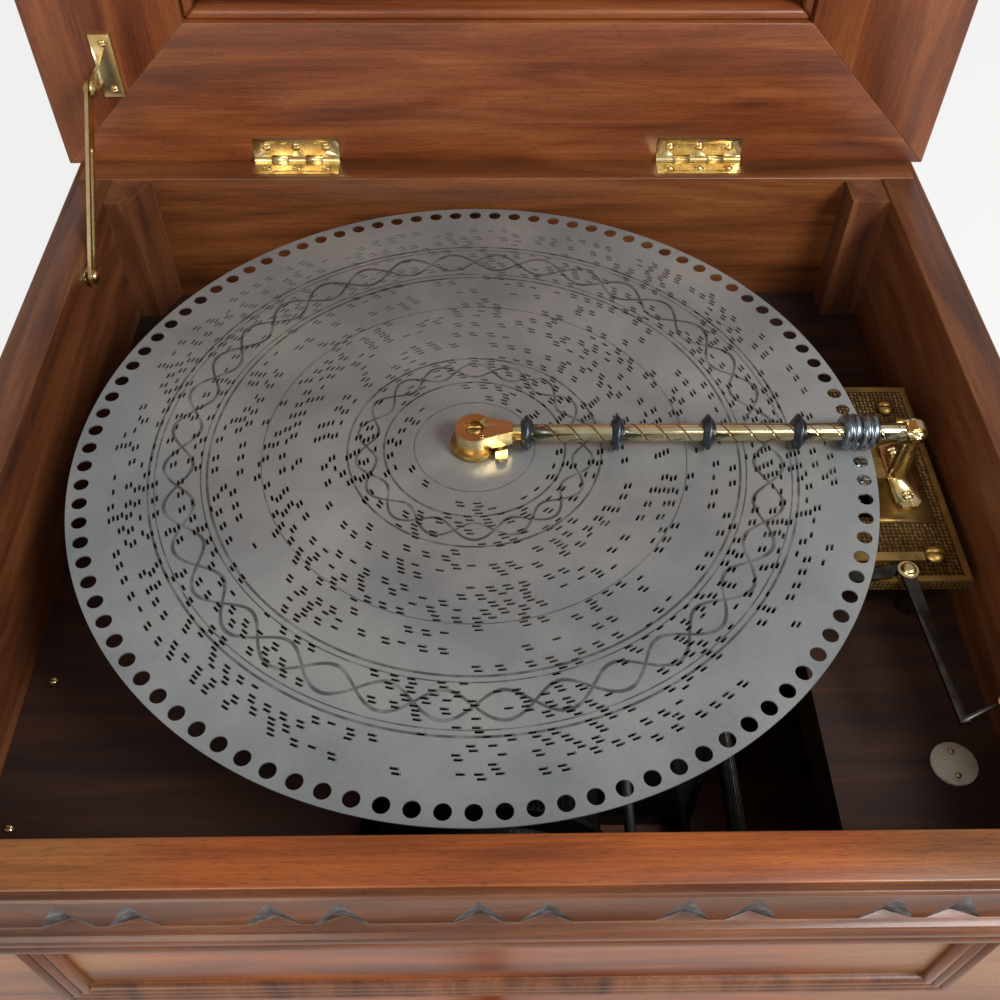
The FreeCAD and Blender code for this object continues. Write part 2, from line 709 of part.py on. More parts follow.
def lid_ring(name, inset, wide, near, far):
    """Four mitred boards in a rectangle, between two distances behind the lid's face."""
    half, low, high = num("lid_half - (%s)" % inset), num("lid_foot + (%s)" % inset), \
        num("lid_head - (%s)" % inset)
    step = num(wide)
    front, deep = num(near), num("(%s) - (%s)" % (far, near))
    outer = [(-half, low), (half, low), (half, high), (-half, high)]
    inner = [(-half + step, low + step), (half - step, low + step),
             (half - step, high - step), (-half + step, high - step)]
    boards = []
    for index in range(4):
        after = (index + 1) % 4
        ring = [outer[index], outer[after], inner[after], inner[index]]
        face = polygon_face([(x, front, z) for x, z in ring])
        boards.append(face.extrude(Vector(0, deep, 0)))
    return shaped(name, Part.makeCompound(boards))


def make_lid():
    """The lid's mitred frame, bead, panel, sides, moulded lip and top board."""
    thick = "lid_board_thick"
    frame = lid_ring("LidFrame", "0", "lid_board", "lid_face", "lid_face + " + thick)
    leaves = []
    for side in (-1, 1):
        middle = "%d * hinge_apart / 2" % side
        leaves.append(box("LeafRest%d" % side,
                          (middle + " - hinge_long / 2 - 0.1", "lid_face - 1", "lid_foot - 1"),
                          (middle + " + hinge_long / 2 + 0.1", "lid_face + hinge_thick",
                           "hinge_z + hinge_leaf + 0.1")))
        leaves.append(box("KnuckleRoom%d" % side,
                          (middle + " - hinge_long / 2 - 0.1", "lid_face - 1", "lid_foot - 1"),
                          (middle + " + hinge_long / 2 + 0.1", "hinge_y + knuckle + 0.4",
                           "hinge_z + knuckle + 0.4")))
    keep(cut("LidFrameCut", frame, *leaves), "lid_frame")
    keep(lid_ring("LidBead", "lid_board", "lid_bead", "lid_face + 3", "lid_face + " + thick), "lid_bead")
    inset = "lid_board - 4"
    panel = box("LidPanel", ("(%s) - lid_half" % inset, "lid_face + %s + 0.0" % thick,
                             "lid_foot + (%s)" % inset),
                ("lid_half - (%s)" % inset, "lid_face + %s + lid_panel_thick" % thick,
                 "lid_head - (%s)" % inset))
    keep(panel, "lid_panel")
    sides = lid_ring("LidSides", "lid_lip", "lid_side_thick", "lid_face + " + thick,
                     "lid_face + lid_tall - lid_top_thick")
    lip = lid_ring("LidLip", "0", "lid_lip", "lid_face + " + thick, "lid_face + %s + lid_lip_tall" % thick)
    keep(group("LidSidesAndLip", sides, lip), "lid_sides")
    top = box("LidTop", ("lid_lip - lid_half", "lid_face + lid_tall - lid_top_thick", "lid_foot + lid_lip"),
              ("lid_half - lid_lip", "lid_face + lid_tall", "lid_head - lid_lip"))
    keep(top, "lid_top")


def hinge_knuckles(side, leaf):
    """Five knuckles: the lid leaf carries the first, third and fifth."""
    start = "%d * hinge_apart / 2 - hinge_long / 2" % side
    fifth = "hinge_long / 5"
    picks = (0, 2, 4) if leaf == "lid" else (1, 3)
    parts = []
    for pick in picks:
        where = "%s + %d * %s + 0.1" % (start, pick, fifth)
        parts.append(rod("Knuckle%s%d_%d" % (leaf, side, pick), "knuckle", fifth + " - 0.2",
                         (where, "hinge_y", "hinge_z"), "X"))
    return parts


SCREW_SPOTS = (-18.0, 0.0, 18.0)


def leaf_hole_rods(side, leaf):
    """Round clearance through a leaf for its three screws."""
    tools = []
    for index, spot in enumerate(SCREW_SPOTS):
        x = "%d * hinge_apart / 2 + %s" % (side, spot)
        name = "LeafHole%s%d_%d" % (leaf, side, index)
        if leaf == "lid":
            at = (x, "lid_face - 1", "hinge_z + 8.6")
            tools.append(rod(name, "2.6", "hinge_thick + 4", at, "Y"))
        else:
            tools.append(rod(name, "2.6", "hinge_thick + 4", (x, "hinge_y - 8.6", "rim - hinge_thick - 2")))
    return tools


def make_hinges():
    """Two brass butt hinges. The case leaf holds the pin."""
    lid_leaves, case_leaves = [], []
    for side in (-1, 1):
        middle = "%d * hinge_apart / 2" % side
        west, east = middle + " - hinge_long / 2", middle + " + hinge_long / 2"
        bore = rod("HingeBore%d" % side, "hinge_pin + 0.05", "hinge_long + 2",
                   (west + " - 1", "hinge_y", "hinge_z"), "X")
        plate = box("LidLeaf%d" % side, (west, "lid_face", "hinge_z"),
                    (east, "lid_face + hinge_thick", "hinge_z + hinge_leaf"))
        gaps = [box("LidLeafGap%d_%d" % (side, pick),
                    ("%s + %d * hinge_long / 5 - 0.1" % (west, pick), "lid_face - 4", "hinge_z - 4"),
                    ("%s + %d * hinge_long / 5 + 0.1" % (west, pick + 1), "lid_face + 4",
                     "hinge_z + knuckle + 0.3")) for pick in (1, 3)]
        whole_leaf = join("LidLeafWhole%d" % side, plate, *hinge_knuckles(side, "lid"))
        lid_leaves.append(cut("LidLeafDone%d" % side, whole_leaf, bore, *gaps, *leaf_hole_rods(side, "lid")))
        flat = box("CaseLeaf%d" % side, (west, "hinge_y - hinge_leaf", "rim - hinge_thick"),
                   (east, "hinge_y", "rim"))
        clear = [box("CaseLeafGap%d_%d" % (side, pick),
                     ("%s + %d * hinge_long / 5 - 0.1" % (west, pick), "hinge_y - knuckle - 0.3", "rim - 5"),
                     ("%s + %d * hinge_long / 5 + 0.1" % (west, pick + 1), "hinge_y + 5", "rim + 5"))
                 for pick in (0, 2, 4)]
        case_leaf = cut("CaseLeafGapped%d" % side, flat, *clear)
        pin = rod("HingePin%d" % side, "hinge_pin", "hinge_long", (west, "hinge_y", "hinge_z"), "X")
        solid = join("CaseLeafWhole%d" % side, case_leaf, *hinge_knuckles(side, "case"), pin)
        case_leaves.append(cut("CaseLeafDone%d" % side, solid, *leaf_hole_rods(side, "case")))
    keep(group("HingeLidLeaves", *lid_leaves), "hinge_lid_leaves")
    keep(group("HingeCaseLeaves", *case_leaves), "hinge_case_leaves")


def slotted(name, radius, height, at, axis="Z", flip=False):
    """A screw head with a slot, its underside at the given place."""
    head = turned(name, [("0", "0"), (radius, "0"), (radius, "%s * 0.45" % height),
                         ("%s * 0.62" % radius, height), ("0", height)], at, axis)
    size = num(radius)
    slot = DOC.addObject("Part::Box", name + "Slot")
    slot.Length, slot.Width, slot.Height = 3 * size, size * 0.3, 2 * num(height)
    spot = head.Placement
    offset = Vector(-1.5 * size, -0.15 * size, num(height) * 0.45)
    slot.Placement = FreeCAD.Placement(Vector(0, 0, 0), TURNS[axis])
    moved = TURNS[axis].multVec(offset)
    for letter, text, shift in zip("xyz", at, moved):
        slot.setExpression("Placement.Base." + letter, "(%s) + (%r)" % (qualified(text), round(shift, 6)))
    return cut(name + "Cut", head, slot)


def make_lid_screws():
    screws = []
    for side in (-1, 1):
        for index, spot in enumerate(SCREW_SPOTS):
            x = "%d * hinge_apart / 2 + %s" % (side, spot)
            screws.append(slotted("LidLeafScrew%d_%d" % (side, index), "2.4", "hinge_thick",
                                  (x, "lid_face + hinge_thick", "hinge_z + 8.6"), "-Y"))
    for index, height in enumerate(("ear_z - 9.3", "ear_z + 18")):
        screws.append(slotted("BracketScrew%d" % index, "2.1", "1.2",
                              ("stay_x + 9.5", "lid_face - 1.6", height), "-Y"))
    keep(group("LidScrews", *screws), "lid_screws")


def case_screws():
    """Hinge screws on the rim, round-headed screws of deck and walls, the stay's seat."""
    screws = []
    for side in (-1, 1):
        for index, spot in enumerate(SCREW_SPOTS):
            x = "%d * hinge_apart / 2 + %s" % (side, spot)
            screws.append(slotted("CaseLeafScrew%d_%d" % (side, index), "2.4", "hinge_thick",
                                  (x, "hinge_y - 8.6", "rim - hinge_thick")))
    for index, (x, y) in enumerate((("12 - half_wide", "-89"), ("11 - half_wide", "-164"))):
        screws.append(slotted("DeckScrew%d" % index, "2.2", "1.6", (x, y, "deck_top")))
    screws.append(rod("StaySeat", "5.6", "0.5", ("-half_wide", "screw_y", "screw_z"), "X"))
    return screws


def make_stay():
    """The slotted bar that holds the lid, its bracket and the head of its case screw."""
    west, east = "stay_x + 2.6", "stay_x + 14.4"
    plate = box("BracketPlate", (west, "lid_face - 1.6", "ear_z - 14"),
                (east, "lid_face", "ear_z + 23"))
    ear = box("BracketEar", (west, "ear_y", "ear_z - 5"), ("stay_x + 4.2", "lid_face", "ear_z + 5"))
    tip = rod("BracketEarTip", "5", "1.6", (west, "ear_y", "ear_z"), "X")
    rivet = rod("StayRivet", "1.8", "5.8", ("stay_x - 1.2", "ear_y", "ear_z"), "X")
    cap = rod("StayRivetCap", "3.2", "0.8", ("stay_x - 1.2", "ear_y", "ear_z"), "X")
    keep(join("StayBracket", plate, ear, tip, rivet, cap), "stay_bracket")
    reach = "sqrt((ear_y - screw_y)^2 + (ear_z - screw_z)^2)"
    lean = math.atan2(num("screw_z - ear_z"), num("screw_y - ear_y"))
    length, half, thick = num(reach), num("stay_wide / 2"), num("stay_thick")
    bore, slot = 1.85, num("stay_slot / 2")
    bar = Part.makeBox(length, 2 * half, thick, Vector(0, -half, 0))
    ends = [Part.makeCylinder(half, thick), Part.makeCylinder(half, thick, Vector(length, 0, 0))]
    bar = bar.fuse(ends)
    slot_start = length * 0.33
    groove = Part.makeBox(length - slot_start, 2 * slot, thick + 2, Vector(slot_start, -slot, -1))
    round_ends = [Part.makeCylinder(slot, thick + 2, Vector(x, 0, -1)) for x in (slot_start, length)]
    bar = bar.cut([groove, Part.makeCylinder(bore, thick + 2, Vector(0, 0, -1))] + round_ends)
    turn = FreeCAD.Rotation(Vector(1, 0, 0), math.degrees(lean)).multiply(
        FreeCAD.Rotation(Vector(1, 1, 1), 120))
    bar.Placement = FreeCAD.Placement(Vector(num("stay_x"), num("ear_y"), num("ear_z")), turn)
    keep(shaped("StayBar", bar), "stay_bar")
    shank = rod("StayScrewShank", "stay_slot / 2 - 0.1", "stay_thick + 0.2",
                ("stay_x", "screw_y", "screw_z"), "X")
    head = turned("StayScrewDome", [("0", "0"), ("4.6", "0"), ("4.6", "0.6"), ("3.4", "0.8"),
                                    ("3.2", "1.6"), ("2.0", "2.4"), ("0", "2.7")],
                  ("stay_x + stay_thick", "screw_y", "screw_z"), "X")
    keep(join("StayScrewHead", shank, head), "stay_screw_head")


def make_bedplate():
    """A cast plate with a raised border and pad, on four legs, with a slot for the sprocket."""
    south, north = "hub_y - bed_half", "hub_y + bed_half"
    plate = box("BedPlate", ("bed_west", south, "bed_low"), ("bed_east", north, "bed_top"))
    border = box("BedBorder", ("bed_west", south, "bed_top"), ("bed_east", north, "bed_top + 1"))
    inner = box("BedField", ("bed_west + bed_rim", south + " + bed_rim", "bed_top - 1"),
                ("bed_east - bed_rim", north + " - bed_rim", "bed_top + 2"))
    pad = box("BedPad", ("edge_x + 9", "hub_y - 30", "bed_top - 1"),
              ("edge_x + 40", "hub_y + 30", "bed_top + 1"))
    legs = []
    for side in (-1, 1):
        y = "hub_y + %d * (bed_half - 16)" % side
        legs.append(rod("LegEast%d" % side, "bed_leg", "bed_low - deck_top", ("edge_x + 34", y, "deck_top")))
        legs.append(rod("LegWest%d" % side, "bed_leg", "bed_low - floor_thick",
                        ("bed_west + 12", y, "floor_thick")))
    slot = box("SprocketSlot", ("edge_x - 4", "hub_y - 26", "bed_low - 1"),
               ("gear_x + 5.2", "hub_y + 26", "bed_top + 2"))
    groove = box("ShaftGroove", ("edge_x", "hub_y - 3.2", "bed_top"),
                 ("gear_x + 15", "hub_y + 3.2", "bed_top + 2"))
    rim = cut("BedBorderCut", border, inner)
    keep(cut("Bedplate", join("BedWhole", plate, rim, pad, *legs), slot, groove), "bedplate")


def make_steel_screws():
    """The large slotted screws of the bedplate and the screws of the combs."""
    screws = []
    for side in (-1, 1):
        screws.append(slotted("BedScrew%d" % side, "5.2", "3.2",
                              ("edge_x + 34", "hub_y + %d * 50" % side, "bed_top")))
        for index in range(4):
            x = "comb_west + comb_long * %s" % (0.08 + 0.28 * index)
            screws.append(slotted("CombScrew%d_%d" % (side, index), "3.4", "2.6",
                                  (x, "hub_y + %d * (comb_far - 9)" % side, "comb_top")))
    keep(group("SteelScrews", *screws), "steel_screws")


def make_arm_post():
    """The post that carries the arm's hinge, on a foot with two screws."""
    foot = slab("PostFoot", [("arm_x - 4.8", "hub_y - 19"), ("arm_x - 2", "hub_y - 22"),
                             ("arm_x + 5", "hub_y - 22"), ("arm_x + 7.8", "hub_y - 19"),
                             ("arm_x + 7.8", "hub_y + 19"), ("arm_x + 5", "hub_y + 22"),
                             ("arm_x - 2", "hub_y + 22"), ("arm_x - 4.8", "hub_y + 19")],
                "bed_top + 1", "bed_top + 3.5")
    post = cone("Post", "4.6", "4.0", "arm_z - bed_top - 3.5 - 4.1", ("arm_x", "hub_y", "bed_top + 3.5"))
    eye = rod("PostEye", "5", "6", ("arm_x", "hub_y - 3", "arm_z"), "Y")
    bore = rod("PostBore", "1.6 + running", "8", ("arm_x", "hub_y - 4", "arm_z"), "Y")
    keep(cut("ArmPost", join("ArmPostWhole", foot, post, eye), bore), "arm_post")


def make_brass_screws():
    """The case's screws, those of the post's foot, the plate's pins and the lever's pivot."""
    parts = case_screws()
    for side in (-1, 1):
        parts.append(slotted("PostScrew%d" % side, "2.9", "2.2",
                             ("arm_x + 1.5", "hub_y + %d * 15.2" % side, "bed_top + 3.5")))
        parts.append(slotted("PlatePin%d" % side, "1.6", "1.2",
                             ("lever_x + 15.1", "lever_y - 78.5 + %d * 6" % side, "deck_top + 1.8")))
    parts.append(turned("LeverPivot", [("0", "0"), ("4.4", "0"), ("4.4", "0.4"), ("2.0", "0.4"),
                                       ("2.0", "2.7"), ("5.0", "2.7"), ("5.0", "3.3"), ("3.3", "3.4"),
                                       ("3.3", "4.6"), ("2.2", "5.4"), ("0", "5.6")],
                        ("lever_x", "lever_y", "bed_top + 1")))
    keep(group("BrassScrews", *parts), "brass_screws")


def make_combs():
    """Two tuned steel combs on cast blocks, one each side of the star wheels."""
    blocks, combs = [], []
    for side in (-1, 1):
        near, far = "hub_y + %d * (comb_far - 17)" % side, "hub_y + %d * (comb_far)" % side
        south, north = (far, near) if side < 0 else (near, far)
        blocks.append(box("CombBlock%d" % side, ("comb_west", south, "bed_top"),
                          ("comb_east", north, "comb_low")))
        combs.append(comb_shape(side))
    keep(group("CombBlocks", *blocks), "comb_blocks")
    keep(shaped("Combs", Part.makeCompound(combs)), "combs")


def comb_shape(side):
    """Teeth that point at the star wheels, and the root they are cut from."""
    count = whole("tooth_count")
    west, east, hub = num("comb_west"), num("comb_east"), num("hub_y")
    near, far, gap = num("comb_near"), num("comb_far"), 0.5
    root = near + num("tooth_long")
    pitch = (east - west) / count
    spots = [(west, far), (west, near)]
    for index in range(1, count):
        x = west + index * pitch
        spots += [(x - gap / 2, near), (x - gap / 2, root), (x + gap / 2, root), (x + gap / 2, near)]
    spots += [(east, near), (east, far)]
    low, thick = num("comb_low"), num("comb_top - comb_low")
    return polygon_face([(x, hub + side * y, low) for x, y in spots]).extrude(Vector(0, 0, thick))


def make_stars():
    """The shaft of the star wheels, its two brackets, and the star wheels."""
    shaft = rod("StarShaft", "1.2", "comb_long + 6", ("comb_west - 3", "hub_y", "star_z"), "X")
    ends = []
    for index, x in enumerate(("comb_west - 5.5", "comb_east + 0.5")):
        far = (x + " + 5", "hub_y + 4", "star_z + 3")
        ends.append(box("StarEnd%d" % index, (x, "hub_y - 4", "bed_top"), far))
    keep(join("StarShaftWhole", shaft, *ends), "star_shaft")
    points, count = whole("star_points"), whole("star_count")
    tip, root = num("star_round"), num("star_round * 0.62")
    ring = []
    for index in range(points):
        turn = 2 * math.pi * index / points
        ring.append(polar(tip, turn))
        ring.append(polar(root, turn + math.pi / points))
    west, pitch = num("comb_west + 2"), num("(comb_long - 4) / star_count")
    bore = Part.makeCylinder(1.2, 3, Vector(0, 0, -1))
    wheel = polygon_face([(x, y, 0) for x, y in ring]).extrude(Vector(0, 0, 1.0)).cut(bore)
    wheels = []
    for index in range(count):
        copy = wheel.copy()
        spot = Vector(west + index * pitch, num("hub_y"), num("star_z"))
        copy.Placement = FreeCAD.Placement(spot, TURNS["X"])
        wheels.append(copy)
    keep(shaped("StarWheels", Part.makeCompound(wheels)), "star_wheels")


def make_spindle():
    """The upright that centres the disc."""
    keep(turned("Spindle", [("0", "0"), ("9", "0"), ("9", "4"), ("6", "6"), ("6", "disc_low - bed_top - 4"),
                            ("8", "disc_low - bed_top - 3"), ("8", "disc_low - bed_top - 0.05"),
                            ("spindle_round", "disc_low - bed_top - 0.05"),
                            ("spindle_round", "disc_top - bed_top + 6"), ("2", "disc_top - bed_top + 7"),
                            ("0", "disc_top - bed_top + 7")],
                ("hub_x", "hub_y", "bed_top")), "spindle")


def make_disc():
    """The tune disc: sheet steel with a spindle hole and a ring of edge holes."""
    body = new_body("TuneDisc")
    rings = [("0", "0", "disc_wide / 2"), ("0", "0", "spindle_round + running")]
    plain = ring_sketch(body, "DiscOutline", rings)
    padded(body, plain, "disc_thick", "DiscSheet")
    one = ring_sketch(body, "EdgeHole", [("hole_ring", "0", "hole_bore / 2")])
    DOC.recompute()
    pocket = body.newObject("PartDesign::Pocket", "EdgeHoleCut")
    pocket.Profile = one
    pocket.Type = "ThroughAll"
    pocket.Midplane = True
    body.Tip = pocket
    DOC.recompute()
    ring = body.newObject("PartDesign::PolarPattern", "EdgeHoles")
    ring.Originals = [pocket]
    ring.Axis = (plain, ["N_Axis"])
    ring.Angle = 360
    bind(ring, {"Occurrences": "hole_count"})
    body.Tip = ring
    keep(seat(body, ("hub_x", "hub_y", "disc_low")), "tune_disc")


def make_arm():
    """The pressure arm: tube, fork, head, centre flange and latch."""
    start = "hub_x + 19"
    end = "arm_x - 6.5"
    tube = rod("ArmTube", "tube_round", "(%s) - (%s)" % (end, start), (start, "hub_y", "arm_z"), "X")
    cheeks = []
    for side, (low, high) in ((-1, ("hub_y - 5.6", "hub_y - 3.3")), (1, ("hub_y + 3.3", "hub_y + 5.6"))):
        near = (end + " - 3", low, "arm_z - 3.4")
        cheeks.append(box("Cheek%d" % side, near, ("arm_x", high, "arm_z + 3.4")))
        cheeks.append(rod("CheekEnd%d" % side, "3.4", "2.3", ("arm_x", low, "arm_z"), "Y"))
    pin = rod("ArmPin", "1.6", "13", ("arm_x", "hub_y - 6.5", "arm_z"), "Y")
    keep(join("ArmTubeWhole", tube, *cheeks, pin), "arm_tube")
    top = "arm_z + 4.2"
    low_head = "disc_top + 3.3"
    hub = rod("HeadHub", "head_round", "(%s) - (%s)" % (top, low_head), ("hub_x", "hub_y", low_head))
    neck = slab("HeadNeck", [("hub_x", "hub_y - 8.6"), ("hub_x + 19", "hub_y - 3.6"),
                             ("hub_x + 19", "hub_y + 3.6"), ("hub_x", "hub_y + 8.6")],
                "disc_top + 4.6", top)
    recess = rod("HeadRecess", "4.7", "6", ("hub_x", "hub_y", top + " - 2.2"))
    well = rod("HeadWell", "spindle_round + 0.4", "5.8", ("hub_x", "hub_y", low_head + " - 1"))
    socket = cut("HeadSolid", join("HeadWhole", hub, neck), recess, well)
    keep(socket, "arm_head")
    screw = slotted("HeadScrew", "4.3", "2.2", ("hub_x", "hub_y", "arm_z + 2"))
    small = slotted("HeadSmallScrew", "1.6", "0.9", ("hub_x + 3.6", "hub_y - 6.4", top))
    pivot = rod("LatchPivot", "1.6", "3.6", ("hub_x + 12.4", "hub_y - 3.6", "disc_top + 1"))
    keep(group("HeadScrews", screw, small, pivot), "head_screws")
    ring = rod("FlangeDisc", "flange_round", "3.0", ("hub_x", "hub_y", "disc_top + 0.3"))
    bore = rod("FlangeBore", "spindle_round + 0.4", "5", ("hub_x", "hub_y", "disc_top - 0.7"))
    notch = box("FlangeNotch", ("hub_x + 7.6", "hub_y - 13", "disc_top + 0.9"),
                ("hub_x + 13", "hub_y + 2", "disc_top + 3.5"))
    keep(cut("CentreFlange", ring, bore, notch), "centre_flange")
    tab = slab("LatchTab", [("hub_x + 9.4", "hub_y - 2.0"), ("hub_x + 15.0", "hub_y - 1.4"),
                            ("hub_x + 16.4", "hub_y - 4.6"), ("hub_x + 16.2", "hub_y - 10.6"),
                            ("hub_x + 14.6", "hub_y - 12.6"), ("hub_x + 12.0", "hub_y - 12.8"),
                            ("hub_x + 10.4", "hub_y - 11.4"), ("hub_x + 10.2", "hub_y - 6")],
               "disc_top + 1.5", "disc_top + 3.1", [("hub_x + 12.4", "hub_y - 3.6", "1.65")])
    keep(tab, "latch_lever")


def make_rollers():
    """Four thin rollers with bevelled rims and two wide ones with rounded rims."""
    bore = "tube_round + running"
    for index in range(4):
        where = "hub_x + roller_first + %d * roller_gap" % index
        half = "roller_thin / 2"
        body = turned("Roller%d" % (index + 1),
                      [(bore, "-roller_thin / 2"), ("tube_round + 1.4", "-roller_thin / 2"),
                       ("roller_round", "-0.3"), ("roller_round", "0.3"),
                       ("tube_round + 1.4", half), (bore, half)],
                      (where, "hub_y", "arm_z"), "X")
        keep(body, "roller_%d" % (index + 1))
    for index in range(2):
        where = "hub_x + wide_first + %d * wide_gap" % index
        body = turned("WideRoller%d" % (index + 1),
                      [(bore, "-wide_thick / 2"), ("roller_round - 1.6", "-wide_thick / 2"),
                       ("roller_round - 0.3", "1.2 - wide_thick / 2"), ("roller_round", "-1.2"),
                       ("roller_round - 1.2", "-0.5"), ("roller_round - 1.2", "0.5"),
                       ("roller_round", "1.2"), ("roller_round - 0.3", "wide_thick / 2 - 1.2"),
                       ("roller_round - 1.6", "wide_thick / 2"), (bore, "wide_thick / 2")],
                      (where, "hub_y", "arm_z"), "X")
        keep(body, "wide_roller_%d" % (index + 1))


def make_sprocket():
    """The toothed wheel that drives the disc, and its shaft with a gear."""
    teeth = whole("sprocket_teeth")
    core = rod("SprocketCore", "sprocket_round - 3.6", "3.4", ("edge_x - 1.7", "hub_y", "sprocket_z"), "X")
    pins = []
    reach = num("sprocket_round + disc_thick / 2 - 0.08")
    for index in range(teeth):
        pin = Part.makeCone(1.65, 0.9, reach - num("sprocket_round - 4.6"),
                            Vector(0, 0, num("sprocket_round - 4.6")))
        turn = FreeCAD.Rotation(Vector(1, 0, 0), 360.0 * index / teeth)
        pin.Placement = FreeCAD.Placement(Vector(num("edge_x"), num("hub_y"), num("sprocket_z")), turn)
        pins.append(pin)
    crown = shaped("SprocketTeeth", Part.makeCompound(pins))
    bore = rod("SprocketBore", "shaft_round", "5", ("edge_x - 2.5", "hub_y", "sprocket_z"), "X")
    rim = cut("SprocketWheel", join("SprocketWhole", core, crown), bore)
    wheel = gear(whole("drive_small"), num("drive_module"), 4.5,
                 (num("gear_x - 2.2"), num("hub_y"), num("sprocket_z")), "X", 0.0)
    axle = bar_shape(num("shaft_round"), num("gear_x + 13 - (edge_x - 12.5)"),
                     (num("edge_x - 12.5"), num("hub_y"), num("sprocket_z")), "X")
    keep(join("Sprocket", rim, shaped("SprocketShaft", axle.fuse(wheel))), "sprocket")


def make_bearings():
    """Blocks that carry the sprocket shaft, and hangers for the two shafts below."""
    parts = []
    for index, (x, foot) in enumerate((("edge_x - 11.5", "bed_top"), ("gear_x + 6.2", "bed_top + 1"))):
        far = (x + " + 5", "hub_y + 7", "sprocket_z + 5")
        block = box("SprocketBlock%d" % index, (x, "hub_y - 7", foot), far)
        bore = rod("SprocketBlockBore%d" % index, "shaft_round + running", "7",
                   (x + " - 1", "hub_y", "sprocket_z"), "X")
        parts.append(cut("SprocketBearing%d" % index, block, bore))
    for index, x in enumerate(("cross_x + mitre_round + 8", "edge_x - 16")):
        block = box("Hanger%d" % index, (x, "hub_y - 6", "drive_z - 6"), (x + " + 5", "hub_y + 6", "bed_low"))
        start = (x + " - 1", "hub_y", "drive_z")
        bore = rod("HangerBore%d" % index, "shaft_round + running", "7", start, "X")
        parts.append(cut("DriveHanger%d" % index, block, bore))
    y = "hub_y - mitre_round - 12"
    block = box("CrossHanger", ("cross_x - 6", y, "drive_z - 6"), ("cross_x + 6", y + " + 5", "bed_low"))
    bore = rod("CrossHangerBore", "shaft_round + running", "7", ("cross_x", y + " - 1", "drive_z"), "Y")
    parts.append(cut("CrossBearing", block, bore))
    keep(group("ShaftBearings", *parts), "shaft_bearings")


def make_drive_shaft():
    """The shaft under the bedplate: a large gear at the sprocket, a mitre gear at the motor."""
    teeth, module = whole("drive_large"), num("drive_module")
    hub, height = num("hub_y"), num("drive_z")
    # The gap of this gear faces the tooth of the small one straight above it.
    wheel = gear(teeth, module, 4.5, (num("gear_x - 2.2"), hub, height), "X",
                 math.pi / teeth)
    start = num("cross_x + mitre_round * 0.7")
    axle = bar_shape(num("shaft_round"), num("gear_x + 6") - start, (start, hub, height), "X")
    apex = (num("cross_x"), hub, height)
    mitre = mitre_gear(whole("mitre_teeth"), num("mitre_module"), apex, TURNS["X"])
    keep(shaped("DriveShaft", axle.fuse([wheel, mitre])), "drive_shaft")


def make_cross_shaft():
    """The shaft that the great wheel turns: pinion, fast wheel and mitre gear."""
    x, height, hub = num("cross_x"), num("drive_z"), num("hub_y")
    front = num("motor_front - 1")
    back = hub - num("mitre_round * 0.7")
    axle = bar_shape(num("shaft_round"), back - front, (x, front, height), "Y")
    lean = math.atan2(num("drive_z - barrel_z"), num("cross_x - barrel_x"))
    pinion = gear(whole("great_pinion"), num("great_module"), 6.5, (x, num("great_y") - 0.25, height), "Y",
                  math.pi - lean)
    fast = gear(whole("fast_teeth"), num("fast_module"), 3.5, (x, num("fast_y"), height), "Y",
                fan_mesh_angle())
    turn = FreeCAD.Rotation(Vector(1, 0, 0), 90)
    first = math.pi / whole("mitre_teeth")
    mitre = mitre_gear(whole("mitre_teeth"), num("mitre_module"), (x, hub, height), turn, first)
    keep(shaped("CrossShaft", axle.fuse([pinion, fast, mitre])), "cross_shaft")


def fan_mesh_angle():
    """Direction from the cross shaft to the fan arbor, in the gear's own plane."""
    return local_angle(num("fan_arbor_x - cross_x"), num("fan_arbor_z - drive_z"))


def make_barrel():
    """The spring barrel with its rims, and the great wheel fixed to its back."""
    drum = turned("BarrelDrum", [("barrel_round - 2", "2"), ("barrel_round - 2", "barrel_long - 2"),
                                 ("arbor_round + running", "barrel_long - 2"),
                                 ("arbor_round + running", "barrel_long"), ("barrel_cap", "barrel_long"),
                                 ("barrel_cap", "barrel_long - 3"), ("barrel_round", "barrel_long - 3"),
                                 ("barrel_round", "3"), ("barrel_cap", "3"), ("barrel_cap", "0"),
                                 ("arbor_round + running", "0"), ("arbor_round + running", "2")],
                  ("barrel_x", "barrel_y", "barrel_z"), "Y")
    keep(drum, "spring_barrel")
    lean = math.atan2(num("drive_z - barrel_z"), num("cross_x - barrel_x"))
    teeth = whole("great_teeth")
    wheel = gear(teeth, num("great_module"), 6, (num("barrel_x"), num("great_y"), num("barrel_z")), "Y",
                 -lean + math.pi / teeth, num("arbor_round + running"))
    boss = bar_shape(14, num("great_y - barrel_y - barrel_long"),
                     (num("barrel_x"), num("barrel_y + barrel_long"), num("barrel_z")), "Y")
    hole = bar_shape(num("arbor_round + running"), 30,
                     (num("barrel_x"), num("barrel_y + barrel_long - 5"), num("barrel_z")), "Y")
    windows = []
    for index in range(5):
        turn = 2 * math.pi * index / 5
        across, up = polar(num("barrel_round") * 0.62, turn)
        windows.append(bar_shape(10, 10, (num("barrel_x") + across, num("great_y") - 1,
                                          num("barrel_z") + up), "Y"))
    keep(shaped("GreatWheel", wheel.fuse(boss).cut([hole] + windows)), "great_wheel")
    keep(shaped("Mainspring", mainspring_coil()), "mainspring")


